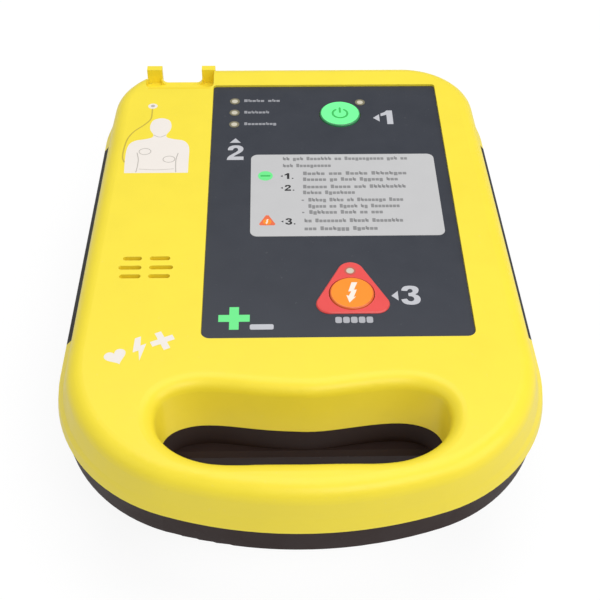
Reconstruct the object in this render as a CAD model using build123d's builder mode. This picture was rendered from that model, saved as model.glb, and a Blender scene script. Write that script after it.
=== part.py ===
from build123d import *
import math
import os
from typing import NamedTuple

# Portable automated external defibrillator, lying on its back.
# Frame: origin on the table plane under the middle of the bounding box, +X to the
# user's right, +Y away from the carrying handle, +Z out of the front panel.
# "Near" is the handle end (-Y), "far" the other end (+Y). Millimetres.

# ---------------------------------------------------------------------------
# Shared dimensions
# ---------------------------------------------------------------------------
# Heights
TOP = 89.0            # front face of the casing
CREASE_Z = 72.5       # crease in the side wall, top of the side grips
SHOULDER_Z = 69.5     # shoulder of the lip under the crease
PART_Z = 64.3         # parting plane between the front and rear casings
HANDLE_Z = 47.8       # underside of the handle
BASE_Z = 1.6          # underside of the rear casing, above the feet
SKIN = 3.6            # front casing skin
INNER_Z = TOP - SKIN
WALL = 5.2            # casing rim at the parting plane
TOP_FILLET = 8.0
HOLE_FILLET = 6.5
HOLE_LEAN = 3.8       # far edge of the handle opening moves this far at the front face
HOLE_WALL = 3.0       # wall round the handle opening

# Where the half widths of a plan outline are taken
HALF_NEAR_Y, HALF_FAR_Y = -72.0, 100.0


class Plan(NamedTuple):
    """A plan outline of the casing, symmetric about X = 0."""
    half_far: float       # half width at HALF_FAR_Y
    half_near: float      # half width at HALF_NEAR_Y
    near_y: float
    far_y: float
    near_r: float         # arc across the near end
    near_corner_r: float
    far_corner_r: float


LIP = Plan(102.5, 107.3, -151.0, 151.0, 178.0, 73.0, 56.0)
SHOULDER = Plan(101.6, 106.4, -150.5, 149.2, 178.0, 72.5, 53.0)
MID = Plan(99.3, 103.8, -150.2, 146.0, 178.0, 69.5, 42.0)
FACE = Plan(94.4, 99.6, -149.2, 139.6, 178.0, 68.0, 33.0)
# Levels of the side wall below the crease: height, plan, inset
LOWER_SIDE = ((PART_Z, LIP, 0.0), (SHOULDER_Z, SHOULDER, 0.0), (CREASE_Z, MID, 0.0))

# Right half of the handle opening, from the middle of its far edge round to its near edge
HOLE = [(0.0, -99.2), (18.0, -97.7), (36.5, -95.2), (50.0, -96.4), (57.7, -101.4),
        (60.2, -109.4), (57.8, -117.6), (50.0, -125.9), (37.0, -131.2), (18.0, -131.9)]
HOLE_NEAR = (0.0, -132.0)
LEAN_START_Y, LEAN_RAMP = -119.0, 18.0   # the lean grows from nothing over this length

# Front panel recess, overlay and label
PANEL_XY = (16.5, 28.0)
PANEL_W, PANEL_L = 120.4, 189.2
PANEL_FAR_R, PANEL_NEAR_R = 1.8, 4.0
PANEL_DEPTH = 1.6
RECESS_Z = TOP - PANEL_DEPTH
OVERLAY_TOP = RECESS_Z + 0.5
BEZEL_TOP = OVERLAY_TOP + 0.8
LABEL_XY = (23.7, 31.4)
LABEL_W, LABEL_L, LABEL_R, LABEL_T = 93.0, 62.3, 3.5, 0.2

# Keys and lamps
POWER_XY, POWER_R, POWER_TOP = (24.1, 96.7), 10.75, 89.0
SHOCK_XY, SHOCK_R, SHOCK_TOP = (23.5, -39.3), 10.15, 89.3
KEY_GAP = 0.3
LENS_R = 2.1
LENS_GAP = 0.1
STATUS_XY = [(-31.9, 109.0), (-31.9, 98.8), (-31.9, 88.5)]
POWER_LENS_XY = (35.3, 107.5)
SHOCK_LENS_XY = (23.4, -24.6)
LENS_XY = STATUS_XY + [POWER_LENS_XY, SHOCK_LENS_XY]

# Key board
BOARD_T = 1.6         # thickness of every circuit board
KEY_BOARD_Z0 = 74.0
KEY_BOARD_Z1 = KEY_BOARD_Z0 + BOARD_T
KEY_BOARD_X0, KEY_BOARD_X1 = -38.0, 70.0
KEY_BOARD_Y0, KEY_BOARD_Y1 = -60.0, 117.0
KEY_BOSS = [(-20.0, 113.0), (65.5, 113.0), (-33.5, -55.0), (65.5, -55.0)]

# Speaker
SPK_X, SPK_Y = -70.5, -21.4
SPK_R = 17.0
SPK_WALL, SPK_WALL_H = 1.8, 6.5
MESH_T = 0.5
# Speaker slots: x, y, length
SLOTS = [(-77.1, -15.4, 8.8), (-64.4, -15.4, 9.6), (-77.8, -21.5, 10.6),
         (-63.5, -21.5, 11.0), (-77.4, -27.3, 9.8), (-64.1, -27.3, 10.0)]
SLOT_W = 2.6

# Plug notch and electrode socket in the far left corner: a shelf, then a bay
# in the far wall between two posts, with the socket at the back of the bay
POCKET_X0, POCKET_X1 = -80.7, -43.8
POCKET_Y0, POCKET_Y1 = 121.0, 137.4
POCKET_Z = 67.0
POCKET_WALL = 2.6
SHELF_Z = 80.6
SHELF_R = 3.0
POST_W = 7.0
POST_Y1 = 141.4
POST_Z = 66.0
PLUG_BAY_X0, PLUG_BAY_X1 = POCKET_X0 + POST_W + 1.0, POCKET_X1 - POST_W
PLUG_BAY_Y = 137.8
WEB_R = 3.0           # hollow radius of the webs at the feet of the posts
WEB_T = 2.4
WEB_ROOT = 0.6        # depth the webs sink into the post and the shelf
SOCK_X, SOCK_Z = -61.3, 73.3
SOCK_W, SOCK_H, SOCK_R = 20.0, 10.0, 2.5
SOCK_Y0, SOCK_Y1 = 114.4, 138.4
SOCK_GAP = 0.2
MOUTH_W, MOUTH_H, MOUTH_R, MOUTH_DEPTH = 15.0, 6.5, 1.6, 15.0
CONTACT_XS = (SOCK_X - 5.0, SOCK_X + 5.0)
CONTACT_W, CONTACT_H = 1.2, 4.6
CONTACT_Y0 = SOCK_Y0 - 1.5

# Side grips
GRIP_Y0, GRIP_Y1 = -51.6, 90.0
GRIP_T = 2.0

# Battery pack and its bay
BAT_X, BAT_Y0, BAT_Y1, BAT_TOP = 58.0, 14.0, 106.0, 35.4   # BAT_X is the half width
BAT_GAP = 0.5
BAY_X, BAY_Y0, BAY_Y1 = BAT_X + BAT_GAP, BAT_Y0 - BAT_GAP, BAT_Y1 + BAT_GAP
BAY_TOP = BAT_TOP + 0.6
BAY_R, BAT_R = 4.0, 3.5
BAY_WALL = 2.6
LATCH_Z0, LATCH_Z1 = 3.4, 7.2
NOSE_W, NOSE_H, NOSE_Z = 16.0, 2.6, LATCH_Z0 + 0.6
TERMINAL_PITCH = 14.0
TERMINALS = [((i - 1.5) * TERMINAL_PITCH, 24.0) for i in range(4)]
TERMINAL_R = 3.0
PIN_R = 1.6           # bay contact

# Screws, feet and board posts
WELLS = [(-78.2, 108.0), (78.2, 108.0), (-83.0, -66.0), (83.0, -66.0)]
HANDLE_SCREWS = [(-30.0, -139.6), (30.0, -139.6), (-83.0, -102.0), (83.0, -102.0)]
WELL_SEAT_Z = 50.0
HANDLE_SEAT_Z = HANDLE_Z + 4.0
FEET = [(-72.0, -74.0), (72.0, -74.0), (-67.0, 118.5), (67.0, 118.5)]
FOOT_R, FOOT_SINK = 7.0, 0.8
POWER_POSTS = [(side * 68, y) for side in (-1, 1) for y in (-76.0, -4.0)]
MAIN_POSTS = [(side * 54, y) for side in (-1, 1) for y in (18.0, 102.0)]
POST_R, POST_BORE_R = 3.6, 1.1
POWER_Z0 = 8.4
POWER_Z1 = POWER_Z0 + BOARD_T
MAIN_Z0 = BAY_TOP + 16.0
MAIN_Z1 = MAIN_Z0 + BOARD_T

# Alignments, in the order X, Y, Z
STANDING = (Align.CENTER, Align.CENTER, Align.MIN)
HANGING = (Align.CENTER, Align.CENTER, Align.MAX)
FROM_CORNER = (Align.MIN, Align.MIN, Align.MIN)
FROM_NEAR = (Align.CENTER, Align.MIN, Align.MIN)
FROM_NEAR_MID = (Align.CENTER, Align.MIN, Align.CENTER)

os.makedirs("parts", exist_ok=True)


# ---------------------------------------------------------------------------
# Helpers
# ---------------------------------------------------------------------------
def export(part, name):
    part.label = name
    export_step(part, f"parts/{name}.step")


def at_z(places, z):
    return [(x, y, z) for x, y in places]


def mix(low, high, t):
    """Plan found t of the way from low to high; t may lie outside 0 to 1."""
    return Plan(*(a + (b - a) * t for a, b in zip(low, high)))


def outline(plan, inset=0.0):
    """Closed wire of a plan moved inward by inset, with tangent corner arcs."""
    slope = (plan.half_far - plan.half_near) / (HALF_FAR_Y - HALF_NEAR_Y)
    root = math.sqrt(1 + slope * slope)
    half_near = plan.half_near - inset * root
    near_y, far_y = plan.near_y + inset, plan.far_y - inset
    near_r = plan.near_r - inset
    near_corner_r = plan.near_corner_r - inset
    far_corner_r = plan.far_corner_r - inset

    def side_x(y):
        return half_near + (y - HALF_NEAR_Y) * slope

    def arc_middle(cx, cy, radius, angle):
        return (cx + radius * math.cos(angle), cy + radius * math.sin(angle))

    # far corner arc, from the far edge to the side
    cy = far_y - far_corner_r
    cx = side_x(cy) - far_corner_r * root
    far_start = (cx, far_y)
    far_end = (cx + far_corner_r / root, cy - far_corner_r * slope / root)
    angle = (math.atan2(far_end[1] - cy, far_end[0] - cx) + math.pi / 2) / 2
    far_middle = arc_middle(cx, cy, far_corner_r, angle)

    # near corner arc: bisect for the centre that also makes it touch the near arc
    near_centre_y = near_y + near_r
    low, high = near_y, 60.0
    for _ in range(80):
        y = (low + high) / 2
        x = side_x(y) - near_corner_r * root
        if x * x + (y - near_centre_y) ** 2 > (near_r - near_corner_r) ** 2:
            low = y
        else:
            high = y
    cy = (low + high) / 2
    cx = side_x(cy) - near_corner_r * root
    side_end = (cx + near_corner_r / root, cy - near_corner_r * slope / root)
    dist = math.hypot(cx, cy - near_centre_y)
    near_end = (cx / dist * near_r, near_centre_y + (cy - near_centre_y) / dist * near_r)
    angle = (math.atan2(side_end[1] - cy, side_end[0] - cx)
             + math.atan2(near_end[1] - cy, near_end[0] - cx)) / 2
    near_middle = arc_middle(cx, cy, near_corner_r, angle)

    def mirror_x(point):
        return (-point[0], point[1])

    with BuildLine() as wire:
        Line(mirror_x(far_start), far_start)
        ThreePointArc(far_start, far_middle, far_end)
        Line(far_end, side_end)
        ThreePointArc(side_end, near_middle, near_end)
        ThreePointArc(near_end, (0.0, near_y), mirror_x(near_end))
        ThreePointArc(mirror_x(near_end), mirror_x(near_middle), mirror_x(side_end))
        Line(mirror_x(side_end), mirror_x(far_end))
        ThreePointArc(mirror_x(far_end), mirror_x(far_middle), mirror_x(far_start))
    return wire.line


def hole_line(lean=0.0, grow=0.0):
    """Handle opening, its far edge moved in +Y by lean and the whole grown outward."""
    half = []
    for x, y in HOLE:
        share = max(0.0, min(1.0, (y - LEAN_START_Y) / LEAN_RAMP))
        half.append((x * (1 + 0.006 * lean), y + lean * share))
    points = half + [HOLE_NEAR] + [(-x, y) for x, y in reversed(half[1:])]
    grown = []
    for i, (x, y) in enumerate(points):
        before, after = points[i - 1], points[(i + 1) % len(points)]
        dx, dy = after[0] - before[0], after[1] - before[1]
        length = math.hypot(dx, dy)
        grown.append((x - dy / length * grow, y + dx / length * grow))
    with BuildLine() as wire:
        Spline(*grown, periodic=True)
    return wire.line


def outline_solid(*levels):
    """Lofts between neighbouring levels, each given as height, plan, inset."""
    with BuildPart() as body:
        for pair in zip(levels, levels[1:]):
            for z, plan, inset in pair:
                with BuildSketch(Plane.XY.offset(z)):
                    add(outline(plan, inset))
                    make_face()
            loft()
    return body.part


def opening_solid(*levels):
    """Loft of the handle opening through two levels, each height, lean, grow."""
    with BuildPart() as body:
        for z, lean, grow in levels:
            with BuildSketch(Plane.XY.offset(z)):
                add(hole_line(lean, grow))
                make_face()
        loft()
    return body.part


def rounded_block(half_x, y0, y1, radius, z0, z1):
    """Block centred on X = 0 with rounded upright edges."""
    with BuildPart() as block:
        with BuildSketch(Plane.XY.offset(z0)) as plan:
            with Locations((0, y0)):
                Rectangle(2 * half_x, y1 - y0, align=(Align.CENTER, Align.MIN))
            fillet(plan.vertices(), radius)
        extrude(amount=z1 - z0)
    return block.part


def socket_block(width, height, radius, y0, length):
    """Rounded block on the socket axis, running in +Y from y0."""
    with BuildPart() as block:
        with BuildSketch(Plane.XZ.offset(-y0)):
            with Locations((SOCK_X, SOCK_Z)):
                RectangleRounded(width, height, radius)
        extrude(amount=-length)
    return block.part


def screws(places, seat, head_r, head_h, shank_r, shank_l, up=True):
    """Cross-slotted pan-head screws, shank pointing up or down from the seat."""
    sign = 1 if up else -1
    with BuildPart() as group:
        with Locations(*at_z(places, seat)):
            Cylinder(shank_r, shank_l, align=STANDING if up else HANGING)
            Cylinder(head_r, head_h, align=HANGING if up else STANDING)
        with Locations(*at_z(places, seat - sign * head_h)):
            Box(head_r * 1.1, head_r * 0.3, head_h, mode=Mode.SUBTRACT)
            Box(head_r * 0.3, head_r * 1.1, head_h, mode=Mode.SUBTRACT)
    return group.part


def circuit_board(centre, width, length, z, holes, hole_r):
    with BuildPart() as board:
        with BuildSketch(Plane.XY.offset(z)):
            with Locations(centre):
                RectangleRounded(width, length, 4)
            with Locations(*holes):
                Circle(hole_r, mode=Mode.SUBTRACT)
        extrude(amount=BOARD_T)
    return board.part


# ---------------------------------------------------------------------------
# Outside and inside shapes of the front casing
# ---------------------------------------------------------------------------
with BuildPart() as front_outer:
    add(outline_solid(*LOWER_SIDE, (TOP, FACE, 0.0)))
    add(opening_solid((PART_Z - 1, 0.0, 0.0), (TOP + 1, HOLE_LEAN, 0.0)), mode=Mode.SUBTRACT)
    top_face = front_outer.faces().filter_by(GeomType.PLANE).sort_by(Axis.Z)[-1]
    fillet(top_face.outer_wire().edges(), TOP_FILLET)
    top_face = front_outer.faces().filter_by(GeomType.PLANE).sort_by(Axis.Z)[-1]
    fillet(top_face.inner_wires()[0].edges(), HOLE_FILLET)

# shape parallel to the lower side wall, used to cut the grips out of it
grip_core = outline_solid(
    (PART_Z - 1, mix(LIP, SHOULDER, -1 / (SHOULDER_Z - PART_Z)), GRIP_T),
    (SHOULDER_Z, SHOULDER, GRIP_T),
    (CREASE_Z + 1, mix(SHOULDER, MID, 1 + 1 / (CREASE_Z - SHOULDER_Z)), GRIP_T))

with BuildPart() as front_cavity:
    add(outline_solid(
        (PART_Z - 1, LIP, WALL + 0.4),
        (CREASE_Z, MID, WALL - 0.6),
        (INNER_Z, mix(MID, FACE, (INNER_Z - CREASE_Z) / (TOP - CREASE_Z)), WALL - 0.4)))
    add(opening_solid((PART_Z - 2, 0.0, HOLE_WALL), (TOP + 1, HOLE_LEAN, HOLE_WALL)),
        mode=Mode.SUBTRACT)
    # solid corner under the plug notch
    with Locations((POCKET_X0 - POCKET_WALL, POCKET_Y0 - POCKET_WALL, POCKET_Z - POCKET_WALL)):
        Box(POCKET_X1 - POCKET_X0 + 2 * POCKET_WALL, 40, 22, align=FROM_CORNER,
            mode=Mode.SUBTRACT)

# ---------------------------------------------------------------------------
# Front casing
# ---------------------------------------------------------------------------
with BuildPart() as top_case:
    add(front_outer.part)
    add(front_cavity.part, mode=Mode.SUBTRACT)
    # bosses that take the casing screws
    for places, radius in ((WELLS, 4.6), (HANDLE_SCREWS, 3.3)):
        with Locations(*at_z(places, PART_Z)):
            Cylinder(radius, INNER_Z - PART_Z + 1, align=STANDING)
    # bosses for the key board and the wall round the speaker
    with Locations(*at_z(KEY_BOSS, KEY_BOARD_Z1)):
        Cylinder(3.6, INNER_Z - KEY_BOARD_Z1 + 0.5, align=STANDING)
    with Locations((SPK_X, SPK_Y, INNER_Z + 0.5)):
        Cylinder(SPK_R + SPK_WALL, SPK_WALL_H, align=HANGING)
    with Locations((SPK_X, SPK_Y, INNER_Z)):
        Cylinder(SPK_R, SPK_WALL_H, align=HANGING, mode=Mode.SUBTRACT)
    # pilot holes: places, foot of the hole, radius, depth
    for places, z, radius, depth in ((WELLS, PART_Z, 1.5, 13), (HANDLE_SCREWS, PART_Z, 1.2, 11),
                                     (KEY_BOSS, KEY_BOARD_Z1, 1.0, 6.5)):
        with Locations(*at_z(places, z)):
            Cylinder(radius, depth, align=STANDING, mode=Mode.SUBTRACT)
    # panel recess
    with BuildSketch(Plane.XY.offset(TOP + 1)) as recess:
        with Locations(PANEL_XY):
            Rectangle(PANEL_W, PANEL_L)
        fillet(recess.vertices().group_by(Axis.Y)[-1], PANEL_FAR_R)
        fillet(recess.vertices().group_by(Axis.Y)[0], PANEL_NEAR_R)
    extrude(amount=-(PANEL_DEPTH + 1), mode=Mode.SUBTRACT)
    # key and lamp openings, right through the skin
    for places, radius in (([POWER_XY], POWER_R + KEY_GAP), ([SHOCK_XY], SHOCK_R + KEY_GAP),
                           (LENS_XY, LENS_R)):
        with Locations(*at_z(places, TOP)):
            Cylinder(radius, 12, mode=Mode.SUBTRACT)
    # speaker slots
    with BuildSketch(Plane.XY.offset(TOP + 1)):
        for x, y, length in SLOTS:
            with Locations((x, y)):
                SlotOverall(length, SLOT_W)
    extrude(amount=-8, mode=Mode.SUBTRACT)
    # shelf of the plug notch
    with BuildSketch(Plane.XY.offset(SHELF_Z)) as pocket:
        with Locations((POCKET_X0, POCKET_Y0)):
            Rectangle(POCKET_X1 - POCKET_X0, 30, align=(Align.MIN, Align.MIN))
        fillet(pocket.vertices().group_by(Axis.Y)[0], SHELF_R)
    extrude(amount=TOP - SHELF_Z + 1, mode=Mode.SUBTRACT)
    # posts at the far corners of the shelf
    with BuildSketch(Plane.XY.offset(POST_Z)):
        for x0, x1 in ((POCKET_X0 - 0.3, PLUG_BAY_X0), (PLUG_BAY_X1, POCKET_X1 + 0.5)):
            with Locations((x0, POCKET_Y1)):
                Rectangle(x1 - x0, POST_Y1 - POCKET_Y1, align=(Align.MIN, Align.MIN))
    extrude(amount=TOP - POST_Z)
    # bay in the far wall, between the posts
    with Locations((PLUG_BAY_X0, PLUG_BAY_Y, POCKET_Z)):
        Box(PLUG_BAY_X1 - PLUG_BAY_X0, 30, TOP - POCKET_Z + 1, align=FROM_CORNER,
            mode=Mode.SUBTRACT)
    # hollow-cornered webs at the feet of the posts; side points into the bay
    for x, side in ((PLUG_BAY_X0, 1), (PLUG_BAY_X1, -1)):
        web_top = (x, SHELF_Z + WEB_R)
        web_toe = (x + side * WEB_R, SHELF_Z)
        hollow = WEB_R * (1 - math.sqrt(0.5))
        with BuildSketch(Plane.XZ.offset(-PLUG_BAY_Y)):
            with BuildLine():
                Polyline(web_top,
                         (x - side * WEB_ROOT, SHELF_Z + WEB_R),
                         (x - side * WEB_ROOT, SHELF_Z - WEB_ROOT),
                         (x + side * WEB_R, SHELF_Z - WEB_ROOT),
                         web_toe)
                ThreePointArc(web_toe, (x + side * hollow, SHELF_Z + hollow), web_top)
            make_face()
        extrude(amount=WEB_T)
    # electrode socket opening through the wall behind the bay
    add(socket_block(SOCK_W + SOCK_GAP, SOCK_H + SOCK_GAP, SOCK_R, POCKET_Y0 - 8.0, 30),
        mode=Mode.SUBTRACT)
    # pockets for the side grips
    with BuildPart(mode=Mode.PRIVATE) as grip_cut:
        with Locations((0, GRIP_Y0, PART_Z - 1)):
            Box(260, GRIP_Y1 - GRIP_Y0, CREASE_Z - PART_Z + 1, align=FROM_NEAR)
        add(grip_core, mode=Mode.SUBTRACT)
    add(grip_cut.part, mode=Mode.SUBTRACT)
export(top_case.part, "top_case")

# Side grips, flush with the lower side wall
for name, side in (("left_side_grip", -1), ("right_side_grip", 1)):
    with BuildPart() as grip:
        add(outline_solid(*LOWER_SIDE))
        add(grip_core, mode=Mode.SUBTRACT)
        with Locations((side * 100, GRIP_Y0, PART_Z)):
            Box(60, GRIP_Y1 - GRIP_Y0, CREASE_Z - PART_Z, align=FROM_NEAR, mode=Mode.INTERSECT)
    export(grip.part, name)

# ---------------------------------------------------------------------------
# Seal, set in a groove of the same shape in the rim of the rear casing
# ---------------------------------------------------------------------------
SEAL_OUTER_INSET, SEAL_INNER_INSET, SEAL_T = 2.4, 3.8, 1.2

with BuildPart() as seal:
    with BuildSketch(Plane.XY.offset(PART_Z)):
        add(outline(LIP, SEAL_OUTER_INSET))
        make_face()
        with BuildSketch(mode=Mode.PRIVATE) as inside:
            add(outline(LIP, SEAL_INNER_INSET))
            make_face()
        add(inside.sketch, mode=Mode.SUBTRACT)
    extrude(amount=-SEAL_T)
export(seal.part, "case_seal")

# ---------------------------------------------------------------------------
# Tub of the rear casing
# ---------------------------------------------------------------------------
TUB_TOP = 52.0
TUB_WALL = 3.2        # difference of the plan insets
TUB_BASE_INSET, TUB_TOP_INSET = 12.5, 7.0
LEDGE = 2.2           # chamfer along the top of the near wall


def near_end_cutter(top_y, base_y, ledge):
    """Everything on the near side of the tub's sloping near wall."""
    with BuildPart() as cutter:
        with BuildSketch(Plane.YZ.offset(-150)):
            with BuildLine():
                Polyline((top_y + ledge, TUB_TOP), (top_y, TUB_TOP - ledge * 0.8),
                         (base_y, -5), (-220, -5), (-220, TUB_TOP), close=True)
            make_face()
        extrude(amount=300)
    return cutter.part


def corner_cutter(corner):
    """Near corners of the tub, beyond the lines |x| - y = corner."""
    with BuildPart() as cutter:
        with BuildSketch(Plane.XY.offset(-10)):
            for side in (-1, 1):
                with BuildLine():
                    Polyline((side * (corner - 125), -125), (side * 140, -125),
                             (side * 140, 140 - corner), close=True)
                make_face()
        extrude(amount=TUB_TOP + 20)
    return cutter.part


def tub(base_z, extra_inset, near_top_y, near_base_y, ledge, corner, upright_r):
    """Tapered tub body with its near end and near corners cut off."""
    with BuildPart() as body:
        add(outline_solid((base_z, LIP, TUB_BASE_INSET + extra_inset),
                          (TUB_TOP, LIP, TUB_TOP_INSET + extra_inset)))
        add(near_end_cutter(near_top_y, near_base_y, ledge), mode=Mode.SUBTRACT)
        add(corner_cutter(corner), mode=Mode.SUBTRACT)
        uprights = body.edges().filter_by(
            lambda e: e.bounding_box().size.Z > 40 and e.center().Y < -70)
        fillet(uprights, upright_r)
    return body.part


with BuildPart() as tub_outer:
    add(tub(BASE_Z, 0.0, near_top_y=-101.8, near_base_y=-95.0, ledge=LEDGE,
            corner=173.0, upright_r=9.0))
    fillet(tub_outer.faces().sort_by(Axis.Z)[0].edges(), 5.0)

tub_inner = tub(BASE_Z + 3.0, TUB_WALL, near_top_y=-92.0, near_base_y=-91.8, ledge=0.01,
                corner=168.6, upright_r=6.0)

# ---------------------------------------------------------------------------
# Rear casing
# ---------------------------------------------------------------------------
with BuildPart() as bottom_case:
    # rim and handle shell
    add(outline_solid((HANDLE_Z, LIP, 2.6), (PART_Z, LIP, 0.4)))
    fillet(bottom_case.faces().sort_by(Axis.Z)[0].edges(), 2.5)
    add(outline_solid((HANDLE_Z + 3.0, LIP, 7.0), (PART_Z, LIP, WALL)), mode=Mode.SUBTRACT)
    # wall round the handle opening, then the opening
    add(opening_solid((HANDLE_Z, 0.0, HOLE_WALL), (PART_Z, 0.0, HOLE_WALL)))
    with BuildSketch(Plane.XY.offset(HANDLE_Z - 10)):
        add(hole_line())
        make_face()
    extrude(amount=PART_Z - HANDLE_Z + 20, mode=Mode.SUBTRACT)
    # body of the rear casing, whose near wall shows as a ledge in the handle opening
    add(tub_outer.part)
    add(tub_inner, mode=Mode.SUBTRACT)
    # seal groove in the rim
    add(seal.part, mode=Mode.SUBTRACT)
    # battery bay
    with Locations((0, BAY_Y0 - BAY_WALL, BASE_Z + 1)):
        Box(2 * (BAY_X + BAY_WALL), BAY_Y1 - BAY_Y0 + 2 * BAY_WALL,
            BAY_TOP + BAY_WALL - BASE_Z - 1, align=FROM_NEAR)
    add(rounded_block(BAY_X, BAY_Y0, BAY_Y1, BAY_R, BASE_Z - 1, BAY_TOP), mode=Mode.SUBTRACT)
    # catch pocket for the battery latch
    with Locations((0, BAY_Y0 - 2.1, NOSE_Z - 0.2)):
        Box(NOSE_W + 0.8, 2.2, NOSE_H + 0.4, align=FROM_NEAR, mode=Mode.SUBTRACT)
    # screw wells, then their head and shank bores
    for places, radius, z in ((WELLS, 5.8, BASE_Z), (HANDLE_SCREWS, 3.6, HANDLE_Z)):
        with Locations(*at_z(places, z + 1)):
            Cylinder(radius, PART_Z - z - 1, align=STANDING)
    with Locations(*at_z(WELLS, BASE_Z - 1)):
        Cylinder(3.5, WELL_SEAT_Z - BASE_Z + 1, align=STANDING, mode=Mode.SUBTRACT)
        Cylinder(1.7, 80, align=STANDING, mode=Mode.SUBTRACT)
    with Locations(*at_z(HANDLE_SCREWS, HANDLE_Z - 1)):
        Cylinder(2.5, HANDLE_SEAT_Z - HANDLE_Z + 1, align=STANDING, mode=Mode.SUBTRACT)
        Cylinder(1.35, 30, align=STANDING, mode=Mode.SUBTRACT)
    # board posts: power board on the floor, main board on the bay roof
    for places, z0, z1 in ((POWER_POSTS, BASE_Z + 2, POWER_Z0), (MAIN_POSTS, BAY_TOP + 1, MAIN_Z0)):
        with Locations(*at_z(places, z0)):
            Cylinder(POST_R, z1 - z0, align=STANDING)
    for places, z in ((POWER_POSTS, BASE_Z + 1.2), (MAIN_POSTS, BAY_TOP + 5.0)):
        with Locations(*at_z(places, z)):
            Cylinder(POST_BORE_R, 30, align=STANDING, mode=Mode.SUBTRACT)
    # recesses for the feet
    with Locations(*at_z(FEET, BASE_Z)):
        Cylinder(FOOT_R, 2 * FOOT_SINK, mode=Mode.SUBTRACT)
    # seats for the bay contacts, right through the bay roof
    with Locations(*at_z(TERMINALS, BAY_TOP - 1)):
        Cylinder(PIN_R, 5, align=STANDING, mode=Mode.SUBTRACT)
export(bottom_case.part, "bottom_case")

export(screws(WELLS, WELL_SEAT_Z, head_r=3.1, head_h=2.4, shank_r=1.5, shank_l=24.0),
       "case_screws")
export(screws(HANDLE_SCREWS, HANDLE_SEAT_Z, head_r=2.3, head_h=1.8, shank_r=1.2, shank_l=21.0),
       "handle_screws")

with BuildPart() as feet:
    with Locations(*at_z(FEET, 0)):
        Cylinder(FOOT_R, BASE_Z + FOOT_SINK, align=STANDING)
    fillet(feet.faces().group_by(Axis.Z)[0].edges(), 0.5)
export(feet.part, "rubber_feet")

# ---------------------------------------------------------------------------
# Panel, keys and lamps
# ---------------------------------------------------------------------------
BEZEL_CORNERS = [(23.7, -24.4), (34.2, -45.4), (13.2, -45.4)]   # centres of its rounded corners
BEZEL_R = 6.0


def bezel_face(grow):
    """Rounded triangle round the shock key."""
    with BuildSketch() as triangle:
        Polygon(*BEZEL_CORNERS, align=None)
        offset(amount=grow, kind=Kind.ARC)
    return triangle.sketch


with BuildPart() as overlay:
    with BuildSketch(Plane.XY.offset(RECESS_Z)) as sheet:
        with Locations(PANEL_XY):
            Rectangle(PANEL_W - 0.3, PANEL_L - 0.3)
        fillet(sheet.vertices().group_by(Axis.Y)[-1], PANEL_FAR_R - 0.1)
        fillet(sheet.vertices().group_by(Axis.Y)[0], PANEL_NEAR_R - 0.1)
        with Locations(POWER_XY):
            Circle(POWER_R + KEY_GAP, mode=Mode.SUBTRACT)
        with Locations(*STATUS_XY, POWER_LENS_XY):
            Circle(LENS_R + LENS_GAP, mode=Mode.SUBTRACT)
        add(bezel_face(BEZEL_R + 0.1), mode=Mode.SUBTRACT)
    extrude(amount=OVERLAY_TOP - RECESS_Z)
export(overlay.part, "panel_overlay")

with BuildPart() as instruction_label:
    with BuildSketch(Plane.XY.offset(OVERLAY_TOP)):
        with Locations(LABEL_XY):
            RectangleRounded(LABEL_W, LABEL_L, LABEL_R)
    extrude(amount=LABEL_T)
export(instruction_label.part, "instruction_label")

with BuildPart() as bezel:
    with BuildSketch(Plane.XY.offset(RECESS_Z)):
        add(bezel_face(BEZEL_R))
    extrude(amount=BEZEL_TOP - RECESS_Z)
    chamfer(bezel.faces().sort_by(Axis.Z)[-1].edges(), 0.5)
    with Locations((*SHOCK_XY, RECESS_Z)):
        Cylinder(SHOCK_R + KEY_GAP, 6, mode=Mode.SUBTRACT)
    with Locations((*SHOCK_LENS_XY, RECESS_Z)):
        Cylinder(LENS_R + LENS_GAP, 6, mode=Mode.SUBTRACT)
export(bezel.part, "shock_bezel")

# Keys: a hollow cap with a flange under the skin, and a stem above the plunger
STEM_Z, STEM_R = 80.2, 3.0
KEY_BASE_Z = INNER_Z - 1.6
KEY_WALL = 1.6
FLANGE_W, FLANGE_T = 1.6, 1.3
KEY_HOLLOW = 2.2
PLUNGER_R, PLUNGER_L = 1.6, 2.4

for name, xy, key_r, key_top in (("onoff", POWER_XY, POWER_R, POWER_TOP),
                                 ("shock", SHOCK_XY, SHOCK_R, SHOCK_TOP)):
    with BuildPart() as key:
        with Locations((*xy, KEY_BASE_Z)):
            Cylinder(key_r, key_top - KEY_BASE_Z, align=STANDING)
        fillet(key.faces().sort_by(Axis.Z)[-1].edges(), 0.9)
        with Locations((*xy, KEY_BASE_Z)):
            Cylinder(key_r + FLANGE_W, FLANGE_T, align=STANDING)
            Cylinder(STEM_R, KEY_BASE_Z - STEM_Z, align=HANGING)
            Cylinder(key_r - KEY_WALL, KEY_HOLLOW, align=STANDING, mode=Mode.SUBTRACT)
        with Locations((*xy, STEM_Z)):
            Cylinder(STEM_R, INNER_Z - STEM_Z + 1.0, align=STANDING)
    export(key.part, name + "_key")
    with BuildPart() as plunger:
        with Locations((*xy, STEM_Z)):
            Cylinder(PLUNGER_R, PLUNGER_L, align=HANGING)
    export(plunger.part, name + "_plunger")


def lenses(places, top, flange_r):
    """Lamp lenses, each with a flange and a light guide under the skin."""
    with BuildPart() as group:
        with Locations(*at_z(places, INNER_Z)):
            Cylinder(LENS_R, top - INNER_Z, align=STANDING)
            Cylinder(flange_r, 1.2, align=HANGING)
            Cylinder(1.8, 7.0, align=HANGING)
    return group.part


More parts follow.
